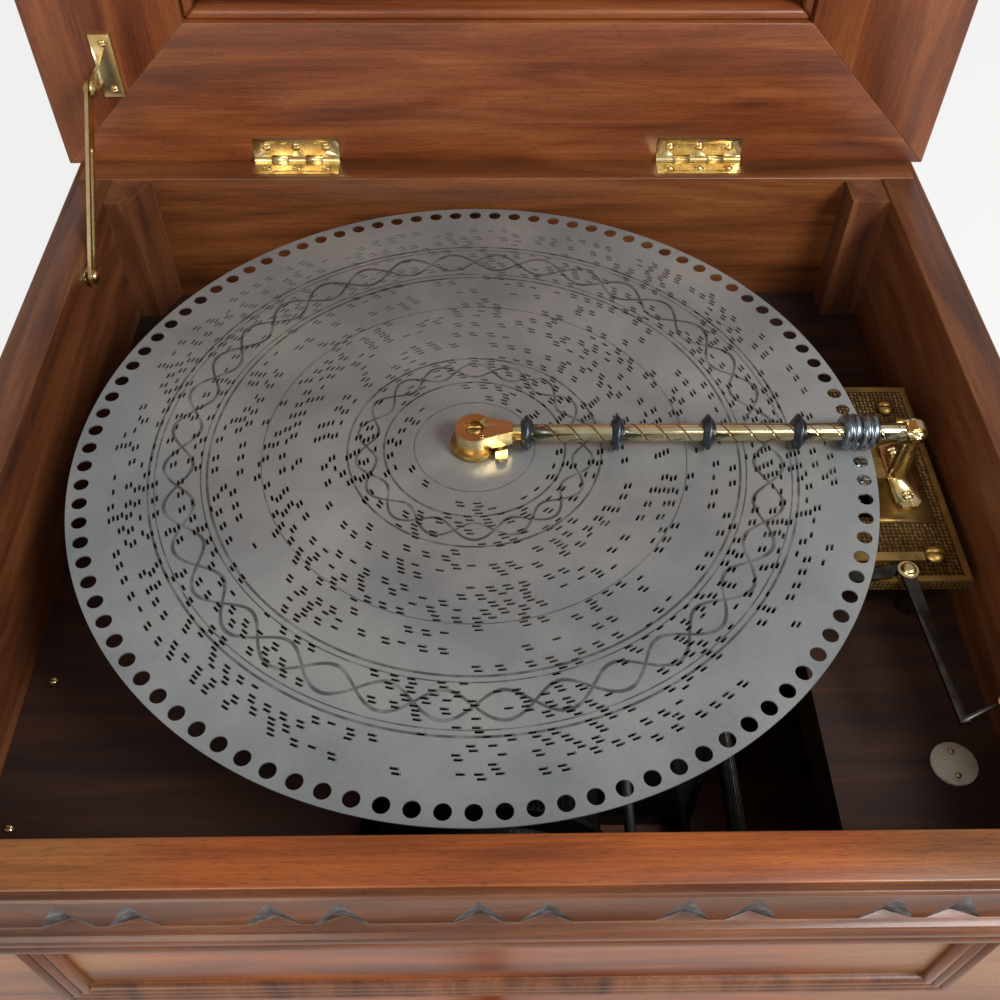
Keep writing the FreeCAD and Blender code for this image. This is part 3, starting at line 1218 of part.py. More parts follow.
def mainspring_coil():
    """A flat spiral band from the barrel's wall in toward the arbor."""
    outer, inner, thick = num("barrel_round - 2"), 22.0, 1.6
    turns, steps = 6, 24
    count = turns * steps
    out_side, in_side = [], []
    for index in range(count + 1):
        angle = 2 * math.pi * index / steps
        radius = outer + (inner - outer) * index / count
        out_side.append(polar(radius, angle))
        in_side.append(polar(radius - thick, angle))
    face = polygon_face([(a, b, 0) for a, b in out_side + in_side[::-1]])
    coil = face.extrude(Vector(0, 0, num("barrel_long - 5")))
    middle = Vector(num("barrel_x"), num("barrel_y + 2"), num("barrel_z"))
    coil.Placement = FreeCAD.Placement(middle, TURNS["Y"])
    return coil


def make_winding():
    """The barrel arbor with its ratchet and winding wheels, and the click over the ratchet."""
    x, z = num("barrel_x"), num("barrel_z")
    front = num("motor_front - 14")
    back = num("motor_back + 4")
    arbor = bar_shape(num("arbor_round"), back - front, (x, front, z), "Y")
    # The gap of this wheel faces straight down, to the tooth of the crank pinion.
    large = gear(whole("wind_teeth"), num("wind_module"), 4.5, (x, front + 1, z), "Y",
                 local_angle(0, -1) + math.pi / whole("wind_teeth"))
    teeth, tip = whole("ratchet_teeth"), num("ratchet_round")
    ring = []
    for index in range(teeth):
        turn = 2 * math.pi * index / teeth
        ring.append(polar(tip, turn))
        ring.append(polar(tip - 2.4, turn + 0.03))
    wheel = polygon_face([(a, b, 0) for a, b in ring]).extrude(Vector(0, 0, 4))
    wheel.Placement = FreeCAD.Placement(Vector(x, num("motor_front - 6"), z), TURNS["Y"])
    keep(shaped("WindingArbor", arbor.fuse([wheel, large])), "winding_arbor")
    # The click hangs over the ratchet wheel, with its tip just clear of the teeth.
    pivot_x, pivot_z = x + tip + 4, z + 12
    click = polygon_face([(pivot_x - 3, 0, pivot_z - 2), (pivot_x + 3, 0, pivot_z - 3),
                          (pivot_x + 4, 0, pivot_z + 3), (pivot_x - 2, 0, pivot_z + 4),
                          (pivot_x - 9.2, 0, pivot_z + 0.9)])
    click = click.extrude(Vector(0, 3.4, 0))
    click.translate(Vector(0, num("motor_front - 5.7"), 0))
    click = click.cut(bar_shape(1.65, 10, (pivot_x, num("motor_front - 8"), pivot_z), "Y"))
    keep(shaped("RatchetClick", click), "ratchet_click")


def make_crank():
    """The crank shaft with its pinion, low in the case, and the crank and knob outside."""
    x, z = num("barrel_x"), num("crank_z")
    y = num("-out_deep - crank_stand")
    low = z - num("crank_long")
    back = num("motor_front + motor_plate + 1")
    shaft = bar_shape(num("arbor_round"), back - y, (x, y, z), "Y")
    pinion = gear(whole("wind_pinion"), num("wind_module"), 5, (x, num("motor_front - 13.25"), z), "Y",
                  local_angle(0, -1) + math.pi)
    hub = bar_shape(8, 9, (x, y, z), "Y").cut(bar_shape(num("arbor_round"), 12, (x, y - 1, z), "Y"))
    arm = Part.makeBox(9, 5, num("crank_long"), Vector(x - 4.5, y + 2, low))
    arm = arm.cut(bar_shape(7, 12, (x, y - 1, z), "Y"))
    end = bar_shape(6.5, 5, (x, y + 2, low), "Y")
    stem = bar_shape(2.4, num("knob_long + 2.6"), (x, y + 2 - num("knob_long + 2.6"), low), "Y")
    head = bar_shape(4.2, 1.6, (x, y + 2 - num("knob_long + 2.6"), low), "Y")
    handle = shaped("CrankHandle", hub.fuse([arm, end, stem, head]))
    keep(group("Crank", shaped("CrankShaft", shaft.fuse(pinion)), handle), "crank")
    knob = turned("CrankKnob", [("2.45", "0"), ("7.0", "0"), ("9.0", "5"), ("8.2", "12"), ("6.4", "20"),
                                ("7.8", "knob_long - 4"), ("7.0", "knob_long"), ("2.45", "knob_long")],
                  ("barrel_x", "-out_deep - crank_stand + 1.5 - knob_long", "crank_z - crank_long"), "Y")
    keep(knob, "crank_knob")


def motor_plate(index, y):
    """One plate of the motor frame, bored for the arbors that run in it."""
    top = "barrel_z + 54" if index else "drive_z + 12"
    plate = box("MotorPlate%d" % index, ("motor_west", y, "floor_thick"),
                ("motor_east", y + " + motor_plate", top))
    spots = [("barrel_x", "barrel_z", "arbor_round + running"),
             ("cross_x", "drive_z", "shaft_round + running")]
    if not index:
        arch = rod("MotorArch", "barrel_round - 2", "motor_plate", ("barrel_x", y, "barrel_z"), "Y")
        plate = join("MotorPlateArched", plate, arch)
        spots.append(("barrel_x", "crank_z", "arbor_round + running"))
    else:
        spots += [("fan_arbor_x", "fan_arbor_z", "1.6 + running"), ("fly_x", "fly_z", "1.6 + running")]
    bores = [rod("PlateBore%d_%d" % (index, number), radius, "motor_plate + 2", (x, y + " - 1", z), "Y")
             for number, (x, z, radius) in enumerate(spots)]
    return cut("MotorPlateBored%d" % index, plate, *bores)


def make_motor_frame():
    """Two plates joined by pillars, with the pin of the click riveted in the front one.

    The front plate is low, with a round arch in front of the barrel.
    """
    plates = [motor_plate(0, "motor_front"), motor_plate(1, "motor_back - motor_plate")]
    pillars = []
    corners = [("motor_west + 6", "floor_thick + 14"), ("motor_west + 6", "barrel_z - great_module * great_teeth / 2 + 10.7"),
               ("motor_east - 6", "floor_thick + 14"), ("motor_east - 6", "drive_z")]
    for index, (x, z) in enumerate(corners):
        pillars.append(rod("Pillar%d" % index, "4", "motor_deep - 2 * motor_plate",
                           (x, "motor_front + motor_plate", z), "Y"))
    start = ("barrel_x + ratchet_round + 4", "motor_front - 6.5", "barrel_z + 12")
    pin = rod("ClickPin", "1.6", "8", start, "Y")
    keep(join("MotorFrame", *plates, *pillars, pin), "motor_frame")


def make_cock():
    """The bridge behind the motor that carries the two fast arbors."""
    west, east = "fan_arbor_x - 7", "fan_arbor_x + 34"
    low, high = "fan_arbor_z - 30", "fly_z + 12"
    y = "motor_back + 18"
    bridge = box("Bridge", (west, y, low), (east, y + " + 3", high))
    bores = [rod("BridgeBore%d" % index, "1.6 + running", "5", (x, y + " - 1", z), "Y")
             for index, (x, z) in enumerate((("fan_arbor_x", "fan_arbor_z"), ("fly_x", "fly_z")))]
    posts = [rod("BridgePost%d" % index, "3", "18", (x, "motor_back", z), "Y")
             for index, (x, z) in enumerate((("fan_arbor_x - 3", "fan_arbor_z - 26"),
                                             ("fan_arbor_x + 30", "fan_arbor_z - 10"),
                                             ("fan_arbor_x + 30", "fly_z + 8")))]
    keep(cut("GovernorCock", join("CockWhole", bridge, *posts), *bores), "governor_cock")


def local_angle(x, z):
    """A direction in X and Z as an angle in the plane of a gear that stands along Y."""
    return -math.atan2(z, x)


def make_fan_arbor():
    """The arbor between the fast wheel and the fly, with its pinion and wheel."""
    x, z = num("fan_arbor_x"), num("fan_arbor_z")
    front, back = num("motor_back - motor_plate - 1"), num("motor_back + 22")
    axle = bar_shape(1.6, back - front, (x, front, z), "Y")
    toward = fan_mesh_angle() + math.pi
    pinion = gear(whole("fast_pinion"), num("fast_module"), 4.5, (x, num("fast_y - 0.5"), z), "Y",
                  toward + math.pi / whole("fast_pinion"))
    ahead = local_angle(num("fly_x - fan_arbor_x"), num("fly_z - fan_arbor_z"))
    wheel = gear(whole("fly_teeth"), num("fly_module"), 2.5, (x, num("fast_y + 6"), z), "Y", ahead)
    keep(shaped("FanArbor", axle.fuse([pinion, wheel])), "fan_arbor")


def make_fly():
    """The fly that holds the speed: pinion, two vanes and the disc that the lever brakes."""
    x, z = num("fly_x"), num("fly_z")
    front, back = num("motor_back - motor_plate - 1"), num("fly_end")
    axle = bar_shape(1.6, back - front, (x, front, z), "Y")
    teeth = whole("fly_pinion")
    back_to = local_angle(num("fan_arbor_x - fly_x"), num("fan_arbor_z - fly_z"))
    pinion = gear(teeth, num("fly_module"), 3.5, (x, num("fast_y + 5.5"), z), "Y", back_to + math.pi / teeth)
    brake = bar_shape(num("fan_round"), 2, (x, back - 2, z), "Y")
    reach = num("fan_round")
    vanes = Part.makeBox(2 * reach, 8, 0.8, Vector(x - reach, back - 10.5, z - 0.4))
    keep(shaped("Fly", axle.fuse([pinion, brake, vanes])), "fly")


def make_lever():
    """The start and stop lever with its bent tip, its knob, its tail and its plate."""
    lean = "0.056"
    tip_x, tip_y = "lever_x + lever_long * " + lean, "lever_y - lever_long"
    half = "lever_wide / 2"
    low, high = "bed_top + 1.5", "bed_top + 3.6"
    tail_x, tail_y = "fly_x", "fly_end + 0.3"
    body = slab("LeverArm", [("lever_x - 4.6", "lever_y + 1.0"), ("lever_x - %s" % half, "lever_y - 4"),
                             (tip_x + " - 2.4", tip_y), (tip_x + " + 2.4", tip_y),
                             ("lever_x + %s" % half, "lever_y - 4"), ("lever_x + 4.6", "lever_y"),
                             ("lever_x + 3", "lever_y + 4"), ("lever_x - 3", "lever_y + 4"),
                             (tail_x, tail_y + " + 2.6"), (tail_x, tail_y),
                             ("lever_x - 8", "lever_y - 3.4")],
                low, high, [("lever_x", "lever_y", "2.05")])
    shoe = box("BrakeShoe", (tail_x, tail_y, "fly_z + 3"), ("fly_x + 4", "fly_end + 2.3", low))
    wire = bar_shape(1.1, 17, (0, 0, 0), "Z")
    lift = FreeCAD.Rotation(Vector(0, 1, 0), 62).multiply(FreeCAD.Rotation(Vector(1, 0, 0), -14))
    wire.Placement = FreeCAD.Placement(Vector(num(tip_x), num(tip_y + " + 2.2"), num(low) + 1.0), lift)
    keep(join("StartLever", body, shoe, shaped("LeverWire", wire)), "start_lever")
    end = wire.Placement.multVec(Vector(0, 0, 17.2))
    knob = Part.makeSphere(2.6, end)
    hole = wire.copy()
    keep(shaped("LeverKnob", knob.cut(hole)), "lever_knob")
    plate = rod("LeverPlate", "plate_round", "1.8", ("lever_x + 15.1", "lever_y - 78.5", "deck_top"))
    keep(plate, "lever_plate")
    bar = box("DetentBar", ("comb_east + 4", "lever_y + 6.8", "bed_top"),
              ("lever_x + 11", "lever_y + 12", "bed_top + 2.4"))
    keep(bar, "detent_bar")


def make_all():
    fill_sheet()
    fill_places()
    make_case_boards()
    make_deck()
    make_case_mouldings()
    make_panel_frames()
    make_plinth()
    make_lid()
    make_hinges()
    make_lid_screws()
    make_stay()
    make_bedplate()
    make_steel_screws()
    make_arm_post()
    make_brass_screws()
    make_combs()
    make_stars()
    make_spindle()
    make_disc()
    make_arm()
    make_rollers()
    make_sprocket()
    make_bearings()
    make_drive_shaft()
    make_cross_shaft()
    make_barrel()
    make_winding()
    make_crank()
    make_motor_frame()
    make_cock()
    make_fan_arbor()
    make_fly()
    make_lever()
    DOC.recompute()


def check_all():
    """Stop if any object failed or any finished piece is empty or broken."""
    for thing in DOC.Objects:
        if "Invalid" in thing.State or "Error" in thing.State:
            raise RuntimeError("failed: %s %s" % (thing.Name, thing.State))
    for node in NODES:
        shape = node.Shape
        if shape.isNull() or not shape.isValid() or not shape.Solids:
            raise RuntimeError("not a valid solid: " + node.Label)


def write_all():
    os.makedirs("parts", exist_ok=True)
    for node in NODES:
        node.Shape.exportStep("parts/%s.step" % node.Label)
        print("%-20s %2d solids %12.1f mm3" % (node.Label, len(node.Shape.Solids), node.Shape.Volume))
    print(len(NODES), "nodes")


make_all()
check_all()
write_all()
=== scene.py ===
# %% [markdown]
# A disc music box of about 1900: a mahogany table case, a steel tune disc that plucks two
# combs, and a brass arm with rollers that holds the disc down. The solid model is loaded
# first as a fixed frame. Every piece made here sits where that frame says, in metres.

# %% Load the frame
import json
import math
import random
import bpy
import bmesh
from mathutils import Matrix, Vector

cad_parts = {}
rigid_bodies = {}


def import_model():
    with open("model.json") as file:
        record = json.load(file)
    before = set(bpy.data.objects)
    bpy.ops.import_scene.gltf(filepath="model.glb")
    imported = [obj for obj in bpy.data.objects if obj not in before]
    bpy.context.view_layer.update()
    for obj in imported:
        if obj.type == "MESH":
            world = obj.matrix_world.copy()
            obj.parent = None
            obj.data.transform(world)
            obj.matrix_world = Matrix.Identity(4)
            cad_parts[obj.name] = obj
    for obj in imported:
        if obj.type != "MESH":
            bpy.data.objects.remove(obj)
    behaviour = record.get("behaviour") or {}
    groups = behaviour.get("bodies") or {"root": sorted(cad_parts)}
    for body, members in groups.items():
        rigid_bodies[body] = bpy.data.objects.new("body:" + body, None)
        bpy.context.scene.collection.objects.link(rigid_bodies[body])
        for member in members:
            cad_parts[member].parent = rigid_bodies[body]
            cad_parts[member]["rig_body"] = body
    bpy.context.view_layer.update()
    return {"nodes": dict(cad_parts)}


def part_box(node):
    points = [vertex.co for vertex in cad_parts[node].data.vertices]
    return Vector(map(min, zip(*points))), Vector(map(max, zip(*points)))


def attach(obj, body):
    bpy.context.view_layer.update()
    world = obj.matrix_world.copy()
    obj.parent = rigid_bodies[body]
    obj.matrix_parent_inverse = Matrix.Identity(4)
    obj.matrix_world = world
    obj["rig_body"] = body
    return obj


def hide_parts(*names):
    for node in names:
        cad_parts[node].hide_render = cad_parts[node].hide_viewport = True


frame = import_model()
nodes = frame["nodes"]
MM = 0.001
print("frame:", len(nodes), "pieces")

# %% [markdown]
# The places that the looks need are read from the frame, so a piece can't drift from the
# part it stands for: the middle and top of the disc, the deck, the arm, and so on.

# %% Places read from the frame
disc_low, disc_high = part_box("tune_disc")
hub = Vector(((disc_low.x + disc_high.x) / 2, (disc_low.y + disc_high.y) / 2, disc_high.z))
disc_radius = (disc_high.x - disc_low.x) / 2
disc_thick = disc_high.z - disc_low.z
deck_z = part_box("deck_boards")[1].z
bed_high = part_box("bedplate")[1]
arm_z = (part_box("roller_1")[0].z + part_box("roller_1")[1].z) / 2
print("disc radius %.1f mm, top %.1f mm" % (disc_radius / MM, hub.z / MM))

# %% [markdown]
# The camera stands 0.36 m in front of the middle and 0.6 m up, and looks down into the case
# at about 50 degrees. A camera in Blender looks along its own -Z, so its matrix is built
# from the right, up and backward directions. The angles keep each number readable.

# %% Camera
YAW, PITCH, ROLL = (math.radians(a) for a in (1.27, -50.43, 0.65))
LENS, SENSOR = 38.48, 36.0
CAMERA_SPOT = Vector((-9.4, -357.2, 596.3)) * MM

look = Vector((math.sin(YAW) * math.cos(PITCH), math.cos(YAW) * math.cos(PITCH), math.sin(PITCH)))
level = Vector((math.cos(YAW), -math.sin(YAW), 0))
above = level.cross(look)
right = level * math.cos(ROLL) + above * math.sin(ROLL)
upward = above * math.cos(ROLL) - level * math.sin(ROLL)
camera = bpy.data.objects.new("Camera", bpy.data.cameras.new("Camera"))
camera.data.lens = LENS
camera.data.sensor_width = SENSOR
camera.data.clip_start = 0.01
camera.matrix_world = Matrix((right, upward, -look)).transposed().to_4x4()
camera.location = CAMERA_SPOT
bpy.context.scene.collection.objects.link(camera)
bpy.context.scene.camera = camera
print("camera at", tuple(round(c, 3) for c in camera.location))

# %% [markdown]
# Colours are written as hex values, the way a paint chart or a photo gives them. Blender
# computes in linear light, so one function turns each value over. A second function adds
# a shader node with its settings and links, because every finish below needs dozens. The
# small ones after it are for what comes up most: sums, noise of a size, ranges and bumps.

# %% Colours and nodes
def shade(code):
    """The linear colour of a hex value."""
    parts = [int(code[i:i + 2], 16) / 255 for i in (1, 3, 5)]
    return [c / 12.92 if c <= 0.04045 else ((c + 0.055) / 1.055) ** 2.4 for c in parts] + [1.0]


def feed(tree, node, inputs):
    """Link each input that is given a socket, and set the others."""
    for name, value in inputs.items():
        if isinstance(value, bpy.types.NodeSocket):
            tree.links.new(value, node.inputs[name])
        else:
            node.inputs[name].default_value = value


def add(tree, kind, inputs=None, **settings):
    """A shader node with its settings made and its inputs set or linked."""
    node = tree.nodes.new(kind)
    for name, value in settings.items():
        setattr(node, name, value)
    feed(tree, node, inputs or {})
    return node


def per_metre(size):
    """A texture scale from the size of its features in millimetres."""
    return 1 / (size * MM)


def here(tree):
    return add(tree, "ShaderNodeTexCoord").outputs["Object"]


def calc(tree, operation, *values):
    """What a Math node makes of up to three numbers or sockets."""
    return add(tree, "ShaderNodeMath", dict(enumerate(values)), operation=operation).outputs[0]


def clouds(tree, place, size, detail):
    """Noise with features of about that many millimetres."""
    inputs = {"Vector": place, "Scale": per_metre(size), "Detail": detail}
    return add(tree, "ShaderNodeTexNoise", inputs).outputs["Fac"]


def ranged(tree, value, low, high, from_low=0.0, from_high=1.0):
    """A value moved from one range, 0 to 1 unless given, to another, and held inside it."""
    inputs = {"Value": value, "From Min": from_low, "From Max": from_high,
              "To Min": low, "To Max": high}
    return add(tree, "ShaderNodeMapRange", inputs).outputs[0]


def raised(tree, height, strength, deep):
    """A normal for a relief that is so many millimetres deep."""
    inputs = {"Height": height, "Strength": strength, "Distance": deep * MM}
    return add(tree, "ShaderNodeBump", inputs).outputs[0]


def split_axes(tree, vector):
    return add(tree, "ShaderNodeSeparateXYZ", {0: vector}).outputs


def finish(name):
    """A new material and its shader, ready for a surface."""
    material = bpy.data.materials.new(name)
    material.use_nodes = True
    tree = material.node_tree
    tree.nodes.clear()
    shader = add(tree, "ShaderNodeBsdfPrincipled")
    add(tree, "ShaderNodeOutputMaterial", {"Surface": shader.outputs[0]})
    return material, tree, shader


def ramp(tree, value, stops):
    """A colour ramp with stops given as (place, colour)."""
    node = add(tree, "ShaderNodeValToRGB", {"Fac": value})
    elements = node.color_ramp.elements
    while len(elements) < len(stops):
        elements.new(0.5)
    for element, (place, colour) in zip(elements, stops):
        element.position = place
        element.color = shade(colour) if isinstance(colour, str) else [colour] * 3 + [1.0]
    return node.outputs["Color"]


print("helpers ready")

# %% [markdown]
# The floor is pale and plain. What the camera sees of it is nearly white, from the Light
# Path's camera ray, but it still takes a soft shadow. A soft lamp high at the right front
# draws the long sheen across the disc, one at the left front lights the lid's inside,
# and the world fills the rest.

# %% Floor and lights
CAMERA_SEES_WHITE = 0.8
WORLD_LIGHT = 0.40


def make_floor():
    shape = bmesh.new()
    bmesh.ops.create_grid(shape, x_segments=1, y_segments=1, size=4.0)
    mesh = bpy.data.meshes.new("Floor")
    shape.to_mesh(mesh)
    shape.free()
    floor = bpy.data.objects.new("Floor", mesh)
    bpy.context.scene.collection.objects.link(floor)
    material, tree, shader = finish("pale matt paint")
    feed(tree, shader, {"Base Color": shade("#E9E7E3"), "Roughness": 0.85})
    glow = add(tree, "ShaderNodeEmission", {"Color": shade("#FFFFFF"), "Strength": 1.0})
    path = add(tree, "ShaderNodeLightPath")
    seen = calc(tree, "MULTIPLY", path.outputs["Is Camera Ray"], CAMERA_SEES_WHITE)
    mixed = add(tree, "ShaderNodeMixShader", {0: seen, 1: shader.outputs[0], 2: glow.outputs[0]})
    tree.links.new(mixed.outputs[0], tree.nodes["Material Output"].inputs["Surface"])
    mesh.materials.append(material)


def lamp(name, place, aim, size, power, tint="#FFFFFF"):
    light = bpy.data.lights.new(name, "AREA")
    light.shape = "RECTANGLE"
    light.size, light.size_y = size
    light.energy = power
    light.color = shade(tint)[:3]
    thing = bpy.data.objects.new(name, light)
    thing.location = place
    thing.rotation_euler = (Vector(aim) - Vector(place)).to_track_quat("-Z", "Y").to_euler()
    bpy.context.scene.collection.objects.link(thing)


def make_world():
    world = bpy.data.worlds.new("Studio")
    world.use_nodes = True
    bpy.context.scene.world = world
    tree = world.node_tree
    tree.nodes.clear()
    path = add(tree, "ShaderNodeLightPath")
    plain = add(tree, "ShaderNodeBackground", {"Color": shade("#F2F3F5"), "Strength": WORLD_LIGHT})
    white = add(tree, "ShaderNodeBackground", {"Color": shade("#FFFFFF"), "Strength": 1.0})
    mixed = add(tree, "ShaderNodeMixShader",
                {0: path.outputs["Is Camera Ray"], 1: plain.outputs[0], 2: white.outputs[0]})
    add(tree, "ShaderNodeOutputWorld", {"Surface": mixed.outputs[0]})


make_floor()
make_world()
lamp("WindowLight", (0.77, -0.56, 1.07), (0.0, 0.0, 0.2), (0.45, 0.45), 15.0)
lamp("FrontFill", (-0.75, -1.25, 1.0), (0.0, 0.15, 0.35), (0.9, 0.7), 11.0, "#FFF6EA")
bpy.context.scene.view_settings.view_transform = "Standard"
print("floor, world and two lamps")

# %% [markdown]
# The case is mahogany, stained red-brown and polished. Mahogany shows long fibres, short
# dark pores and a broad light-and-dark figure, all drawn out along the board. So each
# pattern is a noise whose scale is far larger across the grain than along it. The grain
# runs along the length of each board, so there is one finish for each direction. Where a
# board's edge has been rubbed by hands, the stain is thinner and the colour lighter.

# %% Mahogany
PORE_WIDE, PORE_LONG = 0.45, 5.0
FIBRE_WIDE, FIBRE_LONG = 1.1, 45.0
FIGURE_WIDE, FIGURE_LONG = 17.0, 150.0
RUBBED_REACH = 1.6
MIDDLE_FADE = 35.0


def stretched(tree, coords, wide, long_, detail, distortion=0.0):
    """Noise drawn out along the first axis, from a width and a length in millimetres."""
    scale = (per_metre(long_), per_metre(wide), per_metre(wide))
    placed = add(tree, "ShaderNodeMapping", {"Vector": coords, "Scale": scale})
    noise = add(tree, "ShaderNodeTexNoise", {"Vector": placed.outputs[0], "Scale": 1.0,
                                             "Detail": detail, "Distortion": distortion})
    return noise.outputs["Fac"]


def grain_space(tree, grain):
    """Object coordinates turned so that their first axis runs along the grain."""
    axes = split_axes(tree, here(tree))
    order = {"X": "XYZ", "Y": "YXZ", "Z": "ZXY"}[grain]
    inputs = {i: axes["XYZ".index(axis)] for i, axis in enumerate(order)}
    return add(tree, "ShaderNodeCombineXYZ", inputs).outputs[0]


def rubbed_edges(tree, reach):
    """1 on sharp outside edges and 0 elsewhere, from how far a rounded normal leans."""
    geometry = add(tree, "ShaderNodeNewGeometry")
    round_ = add(tree, "ShaderNodeBevel", {"Radius": reach * MM}, samples=4)
    both = {0: geometry.outputs["Normal"], 1: round_.outputs[0]}
    agree = add(tree, "ShaderNodeVectorMath", both, operation="DOT_PRODUCT")
    return ramp(tree, agree.outputs["Value"], [(0.86, 1.0), (0.99, 0.0)])


def mixed_colour(tree, factor, first, second, how="MIX"):
    """Two colours mixed. The colour sockets of this node are its inputs 6 and 7."""
    node = add(tree, "ShaderNodeMix", data_type="RGBA", blend_type=how)
    feed(tree, node, {0: factor, 6: first, 7: second})
    return node.outputs[2]


def lighter_middle(tree, body, tones, half):
    """Lighten the colour across the middle of the front edge, fading towards darker ends. Half in
    mm.
    """
    place = here(tree)
    off = calc(tree, "ABSOLUTE", split_axes(tree, place)[0])
    ragged = stretched(tree, place, 30.0, 60.0, 4.0)
    edge = calc(tree, "MULTIPLY_ADD", ragged, 60 * MM, off)
    near = ranged(tree, edge, 0.85, 0.0, half * MM, (half + MIDDLE_FADE) * MM)
    light = mixed_colour(tree, 1.0, body, shade(tones[3]), "SOFT_LIGHT")
    return mixed_colour(tree, near, body, light)


def mahogany(name, grain, tones, rough=0.38, coat=0.12, wear=0.5, worn=0):
    """Wood from its dark, middle, light and rubbed tones. worn is half the width of a lighter
    middle, in mm.
    """
    material, tree, shader = finish(name)
    space = grain_space(tree, grain)
    figure = stretched(tree, space, FIGURE_WIDE, FIGURE_LONG, 4.0, 0.7)
    fibre = stretched(tree, space, FIBRE_WIDE, FIBRE_LONG, 3.0)
    pore = stretched(tree, space, PORE_WIDE, PORE_LONG, 1.0)
    broad = ramp(tree, figure, [(0.28, tones[0]), (0.5, tones[1]), (0.74, tones[2])])
    fine = ramp(tree, fibre, [(0.30, 0.60), (0.68, 1.0)])
    body = mixed_colour(tree, 0.75, broad, fine, "MULTIPLY")
    dots = ramp(tree, pore, [(0.56, 1.0), (0.70, 0.55)])
    body = mixed_colour(tree, 0.7, body, dots, "MULTIPLY")
    if worn:
        body = lighter_middle(tree, body, tones, worn)
    rubbed = calc(tree, "MULTIPLY", rubbed_edges(tree, RUBBED_REACH), fibre)
    rubbed = calc(tree, "MULTIPLY", rubbed, wear)
    hollow = mixed_colour(tree, 0.5, fine, dots, "MULTIPLY")
    feed(tree, shader, {"Base Color": mixed_colour(tree, rubbed, body, shade(tones[3])),
                        "Roughness": ranged(tree, fibre, rough - 0.06, rough + 0.10),
                        "Coat Weight": coat, "Coat Roughness": 0.16,
                        "Normal": raised(tree, hollow, 0.35, 0.12)})
    return material


LID_TONES = ("#5C2A15", "#80421F", "#9A5A2E", "#BC8659")
CASE_TONES = ("#452414", "#6B3C20", "#865332", "#B08866")
RIM_TONES = ("#5E3214", "#875022", "#A86A34", "#C39A6C")
WALL_TONES = ("#4E2812", "#733F1D", "#8C5429", "#A67348")
# The deck's tones are its dark stain, darkened further as painted shade for the inside of the
# case.
DECK_STAIN_AND_SHADE_TONES = ("#1E0E06", "#38190A", "#4F2A11", "#5F391B")
lid_x = mahogany("polished mahogany lid rails", "X", LID_TONES)
lid_z = mahogany("polished mahogany lid stiles", "Z", LID_TONES)
case_x = mahogany("polished mahogany mouldings", "X", CASE_TONES)
# The front board is lighter across its middle and darker towards its ends.
front_x = mahogany("mahogany front lighter in the middle", "X", RIM_TONES, worn=150)
case_y = mahogany("polished mahogany case sides", "Y", CASE_TONES)
case_z = mahogany("polished mahogany uprights", "Z", CASE_TONES)
wall_x = mahogany("polished mahogany back", "X", WALL_TONES)
deck_stain_and_shade = mahogany("oiled mahogany deck darkened as painted shade", "X", DECK_STAIN_AND_SHADE_TONES, 0.76, 0.0, 0.15)
inner_z = mahogany("oiled mahogany posts", "Z", CASE_TONES, 0.50, 0.0, 0.3)
print("nine cuts of mahogany")

# %% [markdown]
# A plain CAD solid has knife edges, which no real board or casting has. A piece's CAD mesh
# arrives as loose triangles, so a copy is merged and its flat faces are joined up. Then
# bmesh bevels the sharp edges, which gives each one a thin line of light. Mitred boards
# touch each other, so a piece can first be split: a small step inward from each triangle
# tells which board it belongs to. Each board keeps its own edges and grain.

# %% Soften a piece
STEP_IN = 0.2
SAME_SPOT = 0.002
FLAT_ANGLE = math.radians(0.8)
SHARP_ANGLE = math.radians(28)


def boards_of(source, pick):
    """The piece's triangles sorted by board, as {board: bmesh}."""
    whole = bmesh.new()
    whole.from_mesh(source.data)
    whole.normal_update()
    kinds = {}
    for face in whole.faces:
        inside = face.calc_center_median() - face.normal * STEP_IN * MM
        kinds.setdefault(pick(inside), set()).add(face.index)
    sorted_out = {}
    for board, wanted in kinds.items():
        part = whole.copy()
        part.faces.ensure_lookup_table()
        spare = [face for face in part.faces if face.index not in wanted]
        bmesh.ops.delete(part, geom=spare, context="FACES")
        sorted_out[board] = part
    whole.free()
    return sorted_out


def soften(part, edge, steps):
    """Merge, join flat faces and round the sharp edges of one board."""
    bmesh.ops.remove_doubles(part, verts=part.verts[:], dist=SAME_SPOT * MM)
    if edge:
        bmesh.ops.dissolve_limit(part, angle_limit=FLAT_ANGLE, verts=part.verts[:],
                                 edges=part.edges[:])
        sharp = [e for e in part.edges if len(e.link_faces) == 2
                 and e.calc_face_angle(0) > SHARP_ANGLE and e.calc_length() > 2.5 * edge * MM]
        bmesh.ops.bevel(part, geom=sharp, offset=edge * MM, offset_type="OFFSET", affect="EDGES",
                        segments=steps, profile=0.5, clamp_overlap=False, material=-1)


def settle(mesh, name, body, sharp=35):
    """An object for a finished mesh, smooth but for its sharp edges, riding on a body."""
    mesh.polygons.foreach_set("use_smooth", [True] * len(mesh.polygons))
    mesh.set_sharp_from_angle(angle=math.radians(sharp))
    piece = bpy.data.objects.new(name, mesh)
    bpy.context.scene.collection.objects.link(piece)
    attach(piece, body)
    return piece


